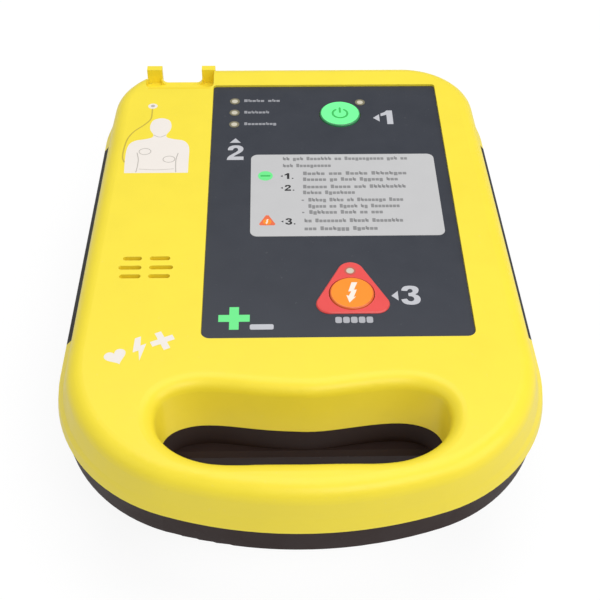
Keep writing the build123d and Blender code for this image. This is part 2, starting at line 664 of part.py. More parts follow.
export(lenses(STATUS_XY, OVERLAY_TOP + 0.15, flange_r=2.9), "status_lenses")
export(lenses([POWER_LENS_XY], OVERLAY_TOP + 0.15, flange_r=2.4), "power_lens")
export(lenses([SHOCK_LENS_XY], BEZEL_TOP + 0.1, flange_r=2.35), "shock_lens")

# ---------------------------------------------------------------------------
# Key board
# ---------------------------------------------------------------------------
export(circuit_board(((KEY_BOARD_X0 + KEY_BOARD_X1) / 2, (KEY_BOARD_Y0 + KEY_BOARD_Y1) / 2),
                     KEY_BOARD_X1 - KEY_BOARD_X0, KEY_BOARD_Y1 - KEY_BOARD_Y0,
                     KEY_BOARD_Z0, KEY_BOSS, hole_r=1.2), "key_board")
export(screws(KEY_BOSS, KEY_BOARD_Z0, head_r=2.2, head_h=1.5, shank_r=1.0, shank_l=7.6),
       "key_board_screws")

SWITCH_W, SWITCH_H = 7.0, 3.8
DISC_Z = KEY_BOARD_Z1 + 1.0
DISC_R, DISC_T = 1.6, 0.2
KEYS_XY = [POWER_XY, SHOCK_XY]

with BuildPart() as tact_switches:
    with Locations(*at_z(KEYS_XY, KEY_BOARD_Z1)):
        Box(SWITCH_W, SWITCH_W, SWITCH_H, align=STANDING)
    chamfer(tact_switches.edges().filter_by(Axis.Z), 0.6)
    with Locations(*at_z(KEYS_XY, DISC_Z)):
        Cylinder(PLUNGER_R + 0.06, 5, align=STANDING, mode=Mode.SUBTRACT)
export(tact_switches.part, "tact_switches")

with BuildPart() as snap_discs:
    with Locations(*at_z(KEYS_XY, DISC_Z)):
        Cylinder(DISC_R, DISC_T, align=STANDING)
export(snap_discs.part, "snap_discs")

with BuildPart() as indicator_leds:
    with Locations(*at_z(LENS_XY, KEY_BOARD_Z1)):
        Box(3.2, 2.6, 1.4, align=STANDING)
        Cylinder(1.1, 2.2, align=STANDING)
export(indicator_leds.part, "indicator_leds")

# ---------------------------------------------------------------------------
# Speaker
# ---------------------------------------------------------------------------
BASKET_Z = 75.0       # rear of the basket, where the magnet sits
MAGNET_R, MAGNET_H = 11.0, 8.5
# Profiles: radius from the speaker axis, z
BASKET_PROFILE = [
    (0, BASKET_Z), (10.5, BASKET_Z), (15.6, 83.2), (SPK_R, 83.2),
    (SPK_R, INNER_Z - MESH_T), (14.4, INNER_Z - MESH_T), (14.4, 83.4), (9.9, 76.2), (0, 76.2)]
CONE_PROFILE = [
    (0, 79.2), (4.0, 78.4), (4.0, 76.2), (4.6, 76.2), (4.6, 78.2), (12.4, 83.4),
    (14.4, 83.4), (14.4, 84.0), (12.2, 84.0), (4.6, 79.0), (0, 79.8)]


def speaker_turning(profile):
    """Profile revolved about the speaker axis."""
    with BuildPart() as turned:
        with BuildSketch(Plane.XZ.offset(-SPK_Y)):
            with BuildLine():
                Polyline(*[(SPK_X + radius, z) for radius, z in profile], close=True)
            make_face()
        revolve(axis=Axis((SPK_X, SPK_Y, 0), (0, 0, 1)))
    return turned.part


with BuildPart() as speaker_mesh:
    with Locations((SPK_X, SPK_Y, INNER_Z)):
        Cylinder(SPK_R, MESH_T, align=HANGING)
export(speaker_mesh.part, "speaker_mesh")

export(speaker_turning(BASKET_PROFILE), "speaker_basket")
export(speaker_turning(CONE_PROFILE), "speaker_cone")

with BuildPart() as magnet:
    with Locations((SPK_X, SPK_Y, BASKET_Z)):
        Cylinder(MAGNET_R, MAGNET_H, align=HANGING)
    chamfer(magnet.faces().sort_by(Axis.Z)[0].edges(), 0.8)
export(magnet.part, "speaker_magnet")

# ---------------------------------------------------------------------------
# Electrode socket
# ---------------------------------------------------------------------------
SOCK_FLANGE_T = 2.0
KEYWAY_W, KEYWAY_H = 6.0, 1.6

with BuildPart() as socket:
    add(socket_block(SOCK_W, SOCK_H, SOCK_R, SOCK_Y0, SOCK_Y1 - SOCK_Y0))
    fillet(socket.faces().sort_by(Axis.Y)[-1].edges(), 0.8)
    # flange against the near side of the pocket wall
    add(socket_block(SOCK_W + 2.0, SOCK_H + 2.0, SOCK_R + 0.5,
                     POCKET_Y0 - POCKET_WALL - SOCK_FLANGE_T, SOCK_FLANGE_T))
    add(socket_block(MOUTH_W, MOUTH_H, MOUTH_R, SOCK_Y1 - MOUTH_DEPTH, 30.0),
        mode=Mode.SUBTRACT)
    # keyway along the upper side, so the plug goes in one way round
    with Locations((SOCK_X, SOCK_Y1 - MOUTH_DEPTH, SOCK_Z + MOUTH_H / 2)):
        Box(KEYWAY_W, 30.0, KEYWAY_H, align=FROM_NEAR_MID, mode=Mode.SUBTRACT)
    with Locations(*[(x, SOCK_Y0 - 2, SOCK_Z) for x in CONTACT_XS]):
        Box(CONTACT_W, 12, CONTACT_H, align=FROM_NEAR_MID, mode=Mode.SUBTRACT)
export(socket.part, "pads_socket")

with BuildPart() as contacts:
    with Locations(*[(x, CONTACT_Y0, SOCK_Z) for x in CONTACT_XS]):
        Box(CONTACT_W, 20.0, CONTACT_H, align=FROM_NEAR_MID)
    chamfer(contacts.faces().group_by(Axis.Y)[-1].edges().filter_by(Axis.Z), 0.4)
export(contacts.part, "socket_contacts")

# ---------------------------------------------------------------------------
# Power board on the floor of the rear casing
# ---------------------------------------------------------------------------
export(circuit_board((0, -40.0), 147.0, 82.0, POWER_Z0, POWER_POSTS, hole_r=1.3), "power_board")
export(screws(POWER_POSTS, POWER_Z1, head_r=2.2, head_h=1.6, shank_r=1.1, shank_l=6.6, up=False),
       "power_board_screws")

# Capacitor lying along X, with two terminals on its right end
CAP_X, CAP_Y, CAP_R, CAP_L = -22.0, -56.0, 20.0, 88.0
CAP_Z = POWER_Z1 + CAP_R + 1.4
CAP_AXIS = Location((CAP_X, CAP_Y, CAP_Z), (0, 90, 0))
CLAMP_W, CLAMP_T = 14, 1.6
CAP_TERMINAL_DY = 7

with BuildPart() as capacitor:
    with Locations(CAP_AXIS):
        Cylinder(CAP_R, CAP_L)
    fillet(capacitor.edges().filter_by(GeomType.CIRCLE), 1.6)
export(capacitor.part, "hv_capacitor")

with BuildPart() as cap_terminals:
    with Locations(*[Location((CAP_X + CAP_L / 2, CAP_Y + dy, CAP_Z), (0, 90, 0))
                     for dy in (-CAP_TERMINAL_DY, CAP_TERMINAL_DY)]):
        Cylinder(3.2, 2.0, align=STANDING)
        Cylinder(1.8, 5.0, align=STANDING)
export(cap_terminals.part, "capacitor_terminals")

with BuildPart() as clamp:
    with Locations(CAP_AXIS):
        Cylinder(CAP_R + CLAMP_T, CLAMP_W)
    with Locations((CAP_X, CAP_Y, POWER_Z1)):
        Box(CLAMP_W, 46, 9, align=STANDING)
    with Locations(CAP_AXIS):
        Cylinder(CAP_R, 20, mode=Mode.SUBTRACT)
    split(bisect_by=Plane.XY.offset(POWER_Z1), keep=Keep.TOP)
export(clamp.part, "capacitor_clamp")

# Transformer: a core with two windows, and a coil round its middle leg
CORE_X, CORE_Y = 48.0, -56.0
CORE_W, CORE_T, CORE_H = 36, 14, 28
WINDOW_DX, WINDOW_W, WINDOW_H, WINDOW_Z = 8.75, 5.5, 18, POWER_Z1 + 5
COIL_GAP = 0.2

with BuildPart() as core:
    with Locations((CORE_X, CORE_Y, POWER_Z1)):
        Box(CORE_W, CORE_T, CORE_H, align=STANDING)
    with Locations((CORE_X - WINDOW_DX, CORE_Y, WINDOW_Z), (CORE_X + WINDOW_DX, CORE_Y, WINDOW_Z)):
        Box(WINDOW_W, 20, WINDOW_H, align=STANDING, mode=Mode.SUBTRACT)
    chamfer(core.edges().filter_by(Axis.Y).filter_by(lambda e: abs(e.center().X - CORE_X) > 17),
            1.0)
export(core.part, "transformer_core")

with BuildPart() as coil:
    with BuildSketch(Plane.XY.offset(WINDOW_Z + COIL_GAP)):
        with Locations((CORE_X, CORE_Y)):
            RectangleRounded(23.0, 32.0, 5.0)
            Rectangle(2 * WINDOW_DX - WINDOW_W, CORE_T, mode=Mode.SUBTRACT)
    extrude(amount=WINDOW_H - 2 * COIL_GAP)
export(coil.part, "transformer_coil")

with BuildPart() as relay:
    with Locations((-40, -18, POWER_Z1)):
        Box(30, 20, 17, align=STANDING)
    chamfer(relay.edges().filter_by(Axis.Z), 1.0)
    fillet(relay.faces().sort_by(Axis.Z)[-1].edges(), 0.6)
export(relay.part, "discharge_relay")

# Heat sink: a plate along X with fins on its far side and transistors on its near side
SINK_X, SINK_Y, SINK_W, SINK_T, SINK_H = 22, -20.0, 60, 3, 26
FIN_COUNT, FIN_SPAN, FIN_T, FIN_L = 9, 57, 1.6, 15
TRANSISTOR_XS = (SINK_X - 20, SINK_X, SINK_X + 20)
LEAD_L, LEAD_PITCH = 3, 5

with BuildPart() as sink:
    with Locations((SINK_X, SINK_Y, POWER_Z1)):
        Box(SINK_W, SINK_T, SINK_H, align=FROM_NEAR)
    with Locations(*[(SINK_X - FIN_SPAN / 2 + i * FIN_SPAN / (FIN_COUNT - 1),
                      SINK_Y + SINK_T, POWER_Z1) for i in range(FIN_COUNT)]):
        Box(FIN_T, FIN_L, SINK_H, align=FROM_NEAR)
export(sink.part, "heat_sink")

with BuildPart() as transistors:
    with Locations(*[(x, SINK_Y, POWER_Z1 + LEAD_L) for x in TRANSISTOR_XS]):
        Box(15.5, 5, 20, align=(Align.CENTER, Align.MAX, Align.MIN))
    chamfer(transistors.faces().group_by(Axis.Y)[0].edges(), 0.6)
    for x in TRANSISTOR_XS:
        with Locations(*[(x + dx, SINK_Y - 2, POWER_Z1) for dx in (-LEAD_PITCH, 0, LEAD_PITCH)]):
            Box(1.2, 0.8, LEAD_L, align=STANDING)
export(transistors.part, "power_transistors")

TERMINAL_BLOCK_H = 10
with BuildPart() as terminal_block:
    with Locations((-65, -24, POWER_Z1)):
        Box(9, 16, TERMINAL_BLOCK_H, align=STANDING)
    chamfer(terminal_block.faces().sort_by(Axis.Z)[-1].edges(), 0.8)
export(terminal_block.part, "terminal_block")

# ---------------------------------------------------------------------------
# Main board on the roof of the battery bay
# ---------------------------------------------------------------------------
export(circuit_board((0, 60.0), 124.0, 98.0, MAIN_Z0, MAIN_POSTS, hole_r=1.3), "main_board")
export(screws(MAIN_POSTS, MAIN_Z1, head_r=2.2, head_h=1.6, shank_r=1.1, shank_l=11.0, up=False),
       "main_board_screws")

# Chips: x, y, width, length, height
CHIPS = [(2, 66, 22, 22, 1.8), (30, 74, 16, 10, 1.4), (30, 58, 16, 10, 1.4),
         (-8, 30, 10, 8, 1.4), (40, 92, 10, 8, 1.4)]
with BuildPart() as chips:
    for x, y, width, length, height in CHIPS:
        with Locations((x, y, MAIN_Z1)):
            Box(width, length, height, align=STANDING)
    chip_tops = chips.faces().filter_by(
        lambda f: f.normal_at().Z > 0.9 and f.center().Z > MAIN_Z1 + 1)
    chamfer(chip_tops.edges(), 0.3)
export(chips.part, "board_chips")

with BuildPart() as shield_can:
    with Locations((-30, 86, MAIN_Z1)):
        Box(34, 26, 4.5, align=STANDING)
    fillet(shield_can.edges().filter_by(Axis.Z), 1.5)
    chamfer(shield_can.faces().sort_by(Axis.Z)[-1].edges(), 0.4)
export(shield_can.part, "shield_can")

# Ribbon between the key board and the main board, bowed toward the handle end
RIBBON_X, RIBBON_Y = 24.0, 38.0
RIBBON_W, RIBBON_T, RIBBON_BOW, RIBBON_STEPS = 22, 0.5, 6.0, 8
PLUG_W, PLUG_L = 26, 6
LOWER_PLUG_H, UPPER_PLUG_H = 5, 4

with BuildPart() as connectors:
    with Locations((RIBBON_X, RIBBON_Y, MAIN_Z1)):
        Box(PLUG_W, PLUG_L, LOWER_PLUG_H, align=STANDING)
    # speaker wire connector
    with Locations((-53, 40, MAIN_Z1)):
        Box(10, 10, 6.5, align=STANDING)
    with Locations((RIBBON_X, RIBBON_Y, KEY_BOARD_Z0)):
        Box(PLUG_W, PLUG_L, UPPER_PLUG_H, align=HANGING)
export(connectors.part, "board_connectors")

ribbon_top = KEY_BOARD_Z0 - UPPER_PLUG_H
ribbon_drop = ribbon_top - (MAIN_Z1 + LOWER_PLUG_H)
bow = [(RIBBON_Y - RIBBON_BOW * math.sin(math.pi * i / RIBBON_STEPS) ** 2,
        ribbon_top - ribbon_drop * i / RIBBON_STEPS) for i in range(RIBBON_STEPS + 1)]
with BuildPart() as ribbon:
    with BuildSketch(Plane.YZ.offset(RIBBON_X - RIBBON_W / 2)):
        with BuildLine():
            Polyline(*[(y - RIBBON_T / 2, z) for y, z in bow],
                     *[(y + RIBBON_T / 2, z) for y, z in reversed(bow)], close=True)
        make_face()
    extrude(amount=RIBBON_W)
export(ribbon.part, "key_ribbon")


def wires(paths, start_dir, end_dir, radius):
    """Round wires along splines through the points of each path."""
    with BuildPart() as loom:
        for points in paths:
            with BuildLine() as run:
                Spline(*points, tangents=[start_dir, end_dir])
            with BuildSketch(Plane(origin=run.line @ 0, z_dir=run.line % 0)):
                Circle(radius)
            sweep(path=run.line)
    return loom.part


SPEAKER_WIRES = [
    [(-61.9, -12.8, 76.0), (-57.0, -5.0, 71.0), (-55.0, 16.0, 61.5), (-54.6, 35.0, 57.6)],
    [(-60.4, -14.3, 76.0), (-54.0, -6.0, 71.0), (-51.6, 16.0, 61.5), (-51.4, 35.0, 57.6)]]
# From the socket contacts to the top of the terminal block
WIRE_END_Z = POWER_Z1 + TERMINAL_BLOCK_H
SOCKET_WIRES = [
    [(CONTACT_XS[0], CONTACT_Y0, SOCK_Z), (-68.4, 88.0, 66.0), (-68.6, 60.0, 58.0),
     (-68.6, 14.0, 46.0), (-66.8, -21.0, WIRE_END_Z)],
    [(CONTACT_XS[1], CONTACT_Y0, SOCK_Z), (-62.5, 86.0, 64.5), (-65.2, 60.0, 58.0),
     (-65.2, 14.0, 46.0), (-63.2, -27.0, WIRE_END_Z)]]
export(wires(SPEAKER_WIRES, (1, 1, 0), (0, 1, 0), radius=0.7), "speaker_wires")
export(wires(SOCKET_WIRES, (0, -1, 0), (0, 0, -1), radius=1.2), "socket_wires")

# Stepped pins from the main board down to the battery terminals
with BuildPart() as bay_contacts:
    with Locations(*at_z(TERMINALS, MAIN_Z0)):
        Cylinder(PIN_R, MAIN_Z0 - BAY_TOP - 1.0, align=HANGING)
        Cylinder(1.0, MAIN_Z0 - BAT_TOP - 0.05, align=HANGING)
export(bay_contacts.part, "bay_contacts")

# ---------------------------------------------------------------------------
# Battery pack
# ---------------------------------------------------------------------------
LID_Z = BAT_TOP - 3.0
PACK_WALL = 2.2
PACK_FLOOR_Z = BASE_Z + 2.4
LATCH_W, THUMB_W = 28.0, 23.8
LATCH_Y0 = 14.9
THUMB_Z = BASE_Z + 0.1
SPRING_Y0, SPRING_Y1, SPRING_Z = 22.0, 27.0, (LATCH_Z0 + LATCH_Z1) / 2
SPRING_XS = (-7.0, 7.0)
RIDGE_Y0, RIDGE_PITCH = 34.0, 4.0

with BuildPart() as pack:
    add(rounded_block(BAT_X, BAT_Y0, BAT_Y1, BAT_R, BASE_Z, LID_Z))
    chamfer(pack.faces().sort_by(Axis.Z)[0].edges(), 0.6)
    add(rounded_block(BAT_X - PACK_WALL, BAT_Y0 + PACK_WALL, BAT_Y1 - PACK_WALL, 2.0,
                      PACK_FLOOR_Z, PACK_FLOOR_Z + 40), mode=Mode.SUBTRACT)
    # housing of the latch, its opening in the underside and its channel
    with Locations((0, BAT_Y0 + 1, BASE_Z + 1)):
        Box(33.2, 14.2, 7.0, align=FROM_NEAR)
    with Locations((0, BAT_Y0 - 1, BASE_Z - 1)):
        Box(THUMB_W + 0.4, 13.0, 3.0, align=FROM_NEAR, mode=Mode.SUBTRACT)
    with Locations((0, BAT_Y0 - 1, LATCH_Z0 - 0.1)):
        Box(LATCH_W + 0.2, SPRING_Y1 - BAT_Y0 + 1, LATCH_Z1 - LATCH_Z0 + 0.2, align=FROM_NEAR,
            mode=Mode.SUBTRACT)
    # grooves that help the thumb and finger on the pack's outer face
    with Locations(*[(0, RIDGE_Y0 + RIDGE_PITCH * i, BASE_Z) for i in range(5)]):
        Box(44, 1.8, 1.0, mode=Mode.SUBTRACT)
export(pack.part, "battery_case")

with BuildPart() as lid:
    add(rounded_block(BAT_X, BAT_Y0, BAT_Y1, BAT_R, LID_Z, BAT_TOP))
    fillet(lid.faces().sort_by(Axis.Z)[-1].edges(), 0.8)
    with Locations(*at_z(TERMINALS, BAT_TOP)):
        Cylinder(TERMINAL_R, 1.2, mode=Mode.SUBTRACT)
export(lid.part, "battery_lid")

with BuildPart() as terminals:
    with Locations(*at_z(TERMINALS, BAT_TOP)):
        Cylinder(TERMINAL_R, 0.6, align=HANGING)
export(terminals.part, "battery_terminals")

# Four cells side by side, lying along Y on the floor of the pack
CELL_R, CELL_L, CELL_Y0, CELL_PITCH = 13.0, 50.0, 31.0, 27
CELL_Z = PACK_FLOOR_Z + CELL_R
STRAP_W, STRAP_T, STRAP_H = 36, 0.3, 6

with BuildPart() as cells:
    for i in range(4):
        with Locations(Location(((i - 1.5) * CELL_PITCH, CELL_Y0, CELL_Z), (-90, 0, 0))):
            Cylinder(CELL_R, CELL_L, align=STANDING)
    fillet(cells.edges().filter_by(GeomType.CIRCLE), 0.8)
export(cells.part, "battery_cells")

with BuildPart() as straps:
    with Locations(*[(x, CELL_Y0 + CELL_L, CELL_Z) for x in (-CELL_PITCH, CELL_PITCH)]):
        Box(STRAP_W, STRAP_T, STRAP_H, align=FROM_NEAR_MID)
    with Locations((0, CELL_Y0, CELL_Z)):
        Box(STRAP_W, STRAP_T, STRAP_H, align=(Align.CENTER, Align.MAX, Align.CENTER))
export(straps.part, "cell_straps")

PACK_BOARD_Y = 93.0
with BuildPart() as pack_board:
    with Locations((0, PACK_BOARD_Y, PACK_FLOOR_Z)):
        Box(90, 16, BOARD_T, align=STANDING)
    with Locations(*[(x, PACK_BOARD_Y, PACK_FLOOR_Z + BOARD_T) for x in (-24, 12)]):
        Box(9, 7, 1.6, align=STANDING)
export(pack_board.part, "battery_board")

# Latch: slide, thumb pad under it, and nose that enters the catch pocket
with BuildPart() as latch:
    with Locations((0, LATCH_Y0, LATCH_Z0)):
        Box(LATCH_W, SPRING_Y0 - LATCH_Y0, LATCH_Z1 - LATCH_Z0, align=FROM_NEAR)
    with Locations((0, 15.4, THUMB_Z)):
        Box(THUMB_W, 6.4, LATCH_Z0 - THUMB_Z, align=FROM_NEAR)
    with Locations((0, 13.65, NOSE_Z)):
        Box(NOSE_W, 1.3, NOSE_H, align=FROM_NEAR)
    # grooves in the thumb pad
    with Locations(*[(0, 16.7 + 1.9 * i, THUMB_Z) for i in range(3)]):
        Box(20, 0.8, 0.8, mode=Mode.SUBTRACT)
export(latch.part, "battery_latch")

with BuildPart() as springs:
    for x in SPRING_XS:
        with BuildLine() as turn:
            Helix(pitch=0.98, height=4.4, radius=1.4, center=(x, SPRING_Y0 + 0.3, SPRING_Z),
                  direction=(0, 1, 0))
        with BuildSketch(Plane(origin=turn.line @ 0, z_dir=turn.line % 0)):
            Circle(0.24)
        sweep(path=turn.line, is_frenet=True)
export(springs.part, "latch_springs")
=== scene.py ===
"""Looks for a portable defibrillator that lies on its back, panel facing up.

The frame has +X to the right, +Y to the back and +Z up. The CAD pieces are in metres; the
printed marks are drawn in millimetres. The camera looks down from the front.
"""
import bpy
import bmesh
import math
import random
from mathutils import Vector, Matrix
from mathutils.geometry import tessellate_polygon


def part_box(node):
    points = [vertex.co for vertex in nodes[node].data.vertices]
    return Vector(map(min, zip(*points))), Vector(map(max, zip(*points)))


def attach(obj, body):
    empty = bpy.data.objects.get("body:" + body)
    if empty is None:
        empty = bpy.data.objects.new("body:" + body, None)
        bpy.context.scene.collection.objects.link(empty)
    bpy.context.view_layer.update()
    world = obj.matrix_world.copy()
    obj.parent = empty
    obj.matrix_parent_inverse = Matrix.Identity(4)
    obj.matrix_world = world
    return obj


MM = 0.001

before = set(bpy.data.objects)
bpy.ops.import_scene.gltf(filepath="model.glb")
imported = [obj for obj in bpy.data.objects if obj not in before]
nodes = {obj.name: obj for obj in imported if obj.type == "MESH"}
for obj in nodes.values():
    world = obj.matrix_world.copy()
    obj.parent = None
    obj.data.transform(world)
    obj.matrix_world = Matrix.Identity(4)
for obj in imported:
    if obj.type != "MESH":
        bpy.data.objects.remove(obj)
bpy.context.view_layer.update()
scene = bpy.context.scene
word_random = random.Random(7)


# --------------------------------------------------------------------------
# shader building
# --------------------------------------------------------------------------
MATERIALS = {}


def linear(rgb):
    """Linear RGBA from 0-255 sRGB."""
    out = []
    for value in rgb:
        value = value / 255.0
        out.append(value / 12.92 if value <= 0.04045 else ((value + 0.055) / 1.055) ** 2.4)
    return (*out, 1.0)


def tint(color, factor, lift=0.0):
    return tuple(min(1.0, value * factor + lift) for value in color[:3]) + (1.0,)


class Shader:
    """A named material, with short methods that add nodes and return their output."""

    def __init__(self, name):
        self.material = bpy.data.materials.new(name)
        self.material.use_nodes = True
        self.tree = self.material.node_tree
        self.principled = self.tree.nodes["Principled BSDF"]
        self.coord = self.add("ShaderNodeTexCoord").outputs["Object"]
        MATERIALS[name] = self.material

    def feed(self, socket, value):
        """Link an output to the socket, or set the socket to a plain value."""
        if isinstance(value, bpy.types.NodeSocket):
            self.tree.links.new(value, socket)
        else:
            socket.default_value = value

    def add(self, kind, inputs=None, **settings):
        node = self.tree.nodes.new(kind)
        for key, value in settings.items():
            setattr(node, key, value)
        for key, value in (inputs or {}).items():
            self.feed(node.inputs[key], value)
        return node

    def surface(self, key, value):
        self.feed(self.principled.inputs[key], value)

    def noise(self, scale, detail=4.0, rough=0.6, distortion=0.0, stretch=None):
        source = self.coord
        if stretch:
            mapping = self.add("ShaderNodeMapping", {"Vector": source, "Scale": stretch})
            source = mapping.outputs["Vector"]
        return self.add("ShaderNodeTexNoise", {
            "Vector": source, "Scale": scale, "Detail": detail,
            "Roughness": rough, "Distortion": distortion}).outputs["Fac"]

    def wave(self, direction, scale, distortion):
        return self.add("ShaderNodeTexWave", {
            "Vector": self.coord, "Scale": scale, "Distortion": distortion},
            bands_direction=direction).outputs["Fac"]

    def ramp(self, value, low=0.3, high=0.7, start=0.0, end=1.0):
        """Map low..high to start..end; the default range is where noise mostly falls."""
        return self.add("ShaderNodeMapRange", {
            "Value": value, "From Min": low, "From Max": high,
            "To Min": start, "To Max": end}).outputs["Result"]

    def mix(self, factor, first, second):
        # sockets 0, 6 and 7 are the factor and the two colours
        return self.add("ShaderNodeMix", data_type="RGBA",
                        inputs={0: factor, 6: first, 7: second}).outputs[2]

    def math(self, operation, first, second):
        return self.add("ShaderNodeMath", {0: first, 1: second}, operation=operation).outputs[0]

    def mix_shaders(self, factor, first, second):
        return self.add("ShaderNodeMixShader", {0: factor, 1: first, 2: second}).outputs[0]

    def emission(self, strength):
        return self.add("ShaderNodeEmission", {
            "Color": (1, 1, 1, 1), "Strength": strength}).outputs[0]

    def edge(self, radius):
        """0 on flat surfaces, up to 1 along edges."""
        bevel = self.add("ShaderNodeBevel", {"Radius": radius}, samples=4)
        geometry = self.add("ShaderNodeNewGeometry")
        dot = self.add("ShaderNodeVectorMath", operation="DOT_PRODUCT", inputs={
            0: bevel.outputs["Normal"], 1: geometry.outputs["Normal"]})
        return self.ramp(dot.outputs["Value"], low=0.995, high=0.85)

    def bump(self, height, strength, distance):
        node = self.add("ShaderNodeBump", {
            "Height": height, "Strength": strength, "Distance": distance})
        self.surface("Normal", node.outputs["Normal"])


def plastic(name, rgb, rough=0.4, vary=0.05, grain_mm=0.3, grain=0.25, wear=0.25,
            wear_rgb=None, coat=0.0, painted_glow=0.0, spec=0.5, dust=0.0):
    """Mottled plastic, rubber, film or ink.

    vary is the colour variation, grain_mm and grain the size and strength of the fine bump,
    wear the paling along edges, and dust the strength of pale specks.
    """
    shader = Shader(name)
    base = linear(rgb)
    cloud = shader.noise(scale=9.0, distortion=0.4)
    mottle = shader.noise(scale=70.0)
    both = shader.math("ADD", shader.math("MULTIPLY", cloud, 0.65),
                       shader.math("MULTIPLY", mottle, 0.35))
    color = shader.mix(shader.ramp(both), tint(base, 1 - vary),
                       tint(base, 1 + vary, lift=vary * 0.01))
    roughness = shader.math("ADD", shader.ramp(mottle, start=-0.05, end=0.05), rough)
    if dust:
        specks = shader.noise(scale=420.0, detail=3.0, rough=0.7)
        color = shader.mix(shader.ramp(specks, low=0.66, high=0.74, end=dust),
                           color, (0.75, 0.74, 0.72, 1.0))
    if wear:
        patches = shader.ramp(shader.noise(scale=240.0, detail=3.0), low=0.35, high=0.65)
        worn = shader.math("MULTIPLY", shader.edge(radius=0.0006), patches)
        worn = shader.math("MULTIPLY", worn, wear)
        worn_color = linear(wear_rgb) if wear_rgb else tint(base, 1.25, lift=0.04)
        color = shader.mix(worn, color, worn_color)
        roughness = shader.math("ADD", roughness, shader.math("MULTIPLY", worn, 0.25))
    shader.surface("Base Color", color)
    shader.surface("Roughness", roughness)
    shader.surface("Specular IOR Level", spec)
    if coat:
        shader.surface("Coat Weight", coat)
        shader.surface("Coat Roughness", 0.12)
    # painted glow: emission in the surface's own colour, brightening keys, lenses and white print
    # that are no lamps
    if painted_glow:
        shader.surface("Emission Color", color)
        shader.surface("Emission Strength", painted_glow)
    if grain:
        fine = shader.noise(scale=1000.0 / grain_mm, detail=2.0, rough=0.5)
        shader.bump(fine, strength=grain, distance=grain_mm * MM * 0.06)


def ink(name, rgb, vary, rough=0.5, painted_glow=0.0):
    plastic(name, rgb, rough=rough, vary=vary, grain=0.1, wear=0.0, spec=0.3, painted_glow=painted_glow)


def metal(name, rgb, rough, stretch=(1, 1, 1)):
    """Bare metal with streaks; stretch squeezes them along an axis."""
    shader = Shader(name)
    base = linear(rgb)
    streak = shader.noise(scale=900.0, detail=3.0, stretch=stretch)
    cloud = shader.noise(scale=60.0)
    shader.surface("Base Color", shader.mix(shader.ramp(cloud), tint(base, 1 - 0.12), base))
    shader.surface("Roughness",
                   shader.math("ADD", shader.ramp(streak, start=-0.08, end=0.12), rough))
    shader.surface("Metallic", 1.0)
    shader.bump(streak, strength=0.2, distance=0.00002)


def board_laminate():
    """Green circuit board with raised angular traces."""
    shader = Shader("board_laminate")
    mottle = shader.noise(scale=260.0)
    cells = shader.add("ShaderNodeTexVoronoi", {"Vector": shader.coord, "Scale": 190.0},
                       distance="MANHATTAN")
    trace = shader.ramp(cells.outputs["Distance"], low=0.50, high=0.56)
    color = shader.mix(trace, linear((22, 92, 52)), linear((44, 132, 76)))
    color = shader.mix(shader.ramp(mottle, end=0.25), color, linear((12, 60, 34)))
    shader.surface("Base Color", color)
    shader.surface("Roughness", shader.ramp(mottle, start=0.28, end=0.42))
    shader.bump(trace, strength=0.25, distance=0.00004)


def speaker_cloth():
    """Yellow cloth woven along X and Y."""
    shader = Shader("speaker_cloth")
    pitch_mm = 0.9
    threads = [shader.wave(direction, scale=1000.0 / pitch_mm / 6.0, distortion=0.6)
               for direction in "XY"]
    height = shader.math("MAXIMUM", *threads)
    base = linear((226, 196, 60))
    # darker between the threads: painted shade in the low parts of the weave
    shader.surface("Base Color", shader.mix(height, tint(base, 0.35), base))
    shader.surface("Roughness", 0.85)
    shader.bump(height, strength=0.6, distance=0.0002)


def copper_winding():
    """Turns of copper wire stacked along Z."""
    shader = Shader("copper_winding")
    turns = shader.wave("Z", scale=260.0, distortion=0.4)
    base = linear((186, 104, 58))
    # darker between the turns: painted shade in the grooves between the wires
    shader.surface("Base Color", shader.mix(turns, tint(base, 0.35), base))
    shader.surface("Metallic", 0.7)
    shader.surface("Roughness", 0.35)
    shader.bump(turns, strength=0.8, distance=0.0003)


# --------------------------------------------------------------------------
# materials
# --------------------------------------------------------------------------
# case, grips and films
plastic("yellow_plastic", (250, 228, 58), vary=0.035, grain=0.16, wear=0.30,
        wear_rgb=(255, 240, 140), coat=0.06, spec=0.42, dust=0.05)
plastic("dark_plastic", (49, 36, 34), rough=0.54, vary=0.12, grain=0.4, grain_mm=0.5, wear=0.3,
        wear_rgb=(84, 74, 72), spec=0.12, dust=0.03)
plastic("socket_plastic", (52, 52, 56), rough=0.38, vary=0.12, wear=0.4, grain=0.2)
plastic("latch_plastic", (190, 60, 48), vary=0.08, wear=0.4)
plastic("grip_rubber", (30, 30, 31), rough=0.62, vary=0.18, grain=0.8, grain_mm=0.7, wear=0.35,
        wear_rgb=(80, 80, 80), spec=0.35, dust=0.12)
plastic("foot_rubber", (34, 34, 35), rough=0.7, vary=0.2, grain=0.7, grain_mm=0.6, wear=0.3,
        spec=0.3, dust=0.2)
plastic("seal_rubber", (60, 60, 60), rough=0.7, vary=0.15, grain=0.4, wear=0.0, spec=0.3)
plastic("panel_film", (47, 51, 61), rough=0.36, vary=0.08, grain=0.35, grain_mm=0.4, wear=0.35,
        wear_rgb=(110, 112, 120), spec=0.42, dust=0.04)
plastic("label_film", (196, 196, 197), rough=0.42, vary=0.025, grain=0.2, grain_mm=0.5, wear=0.0)
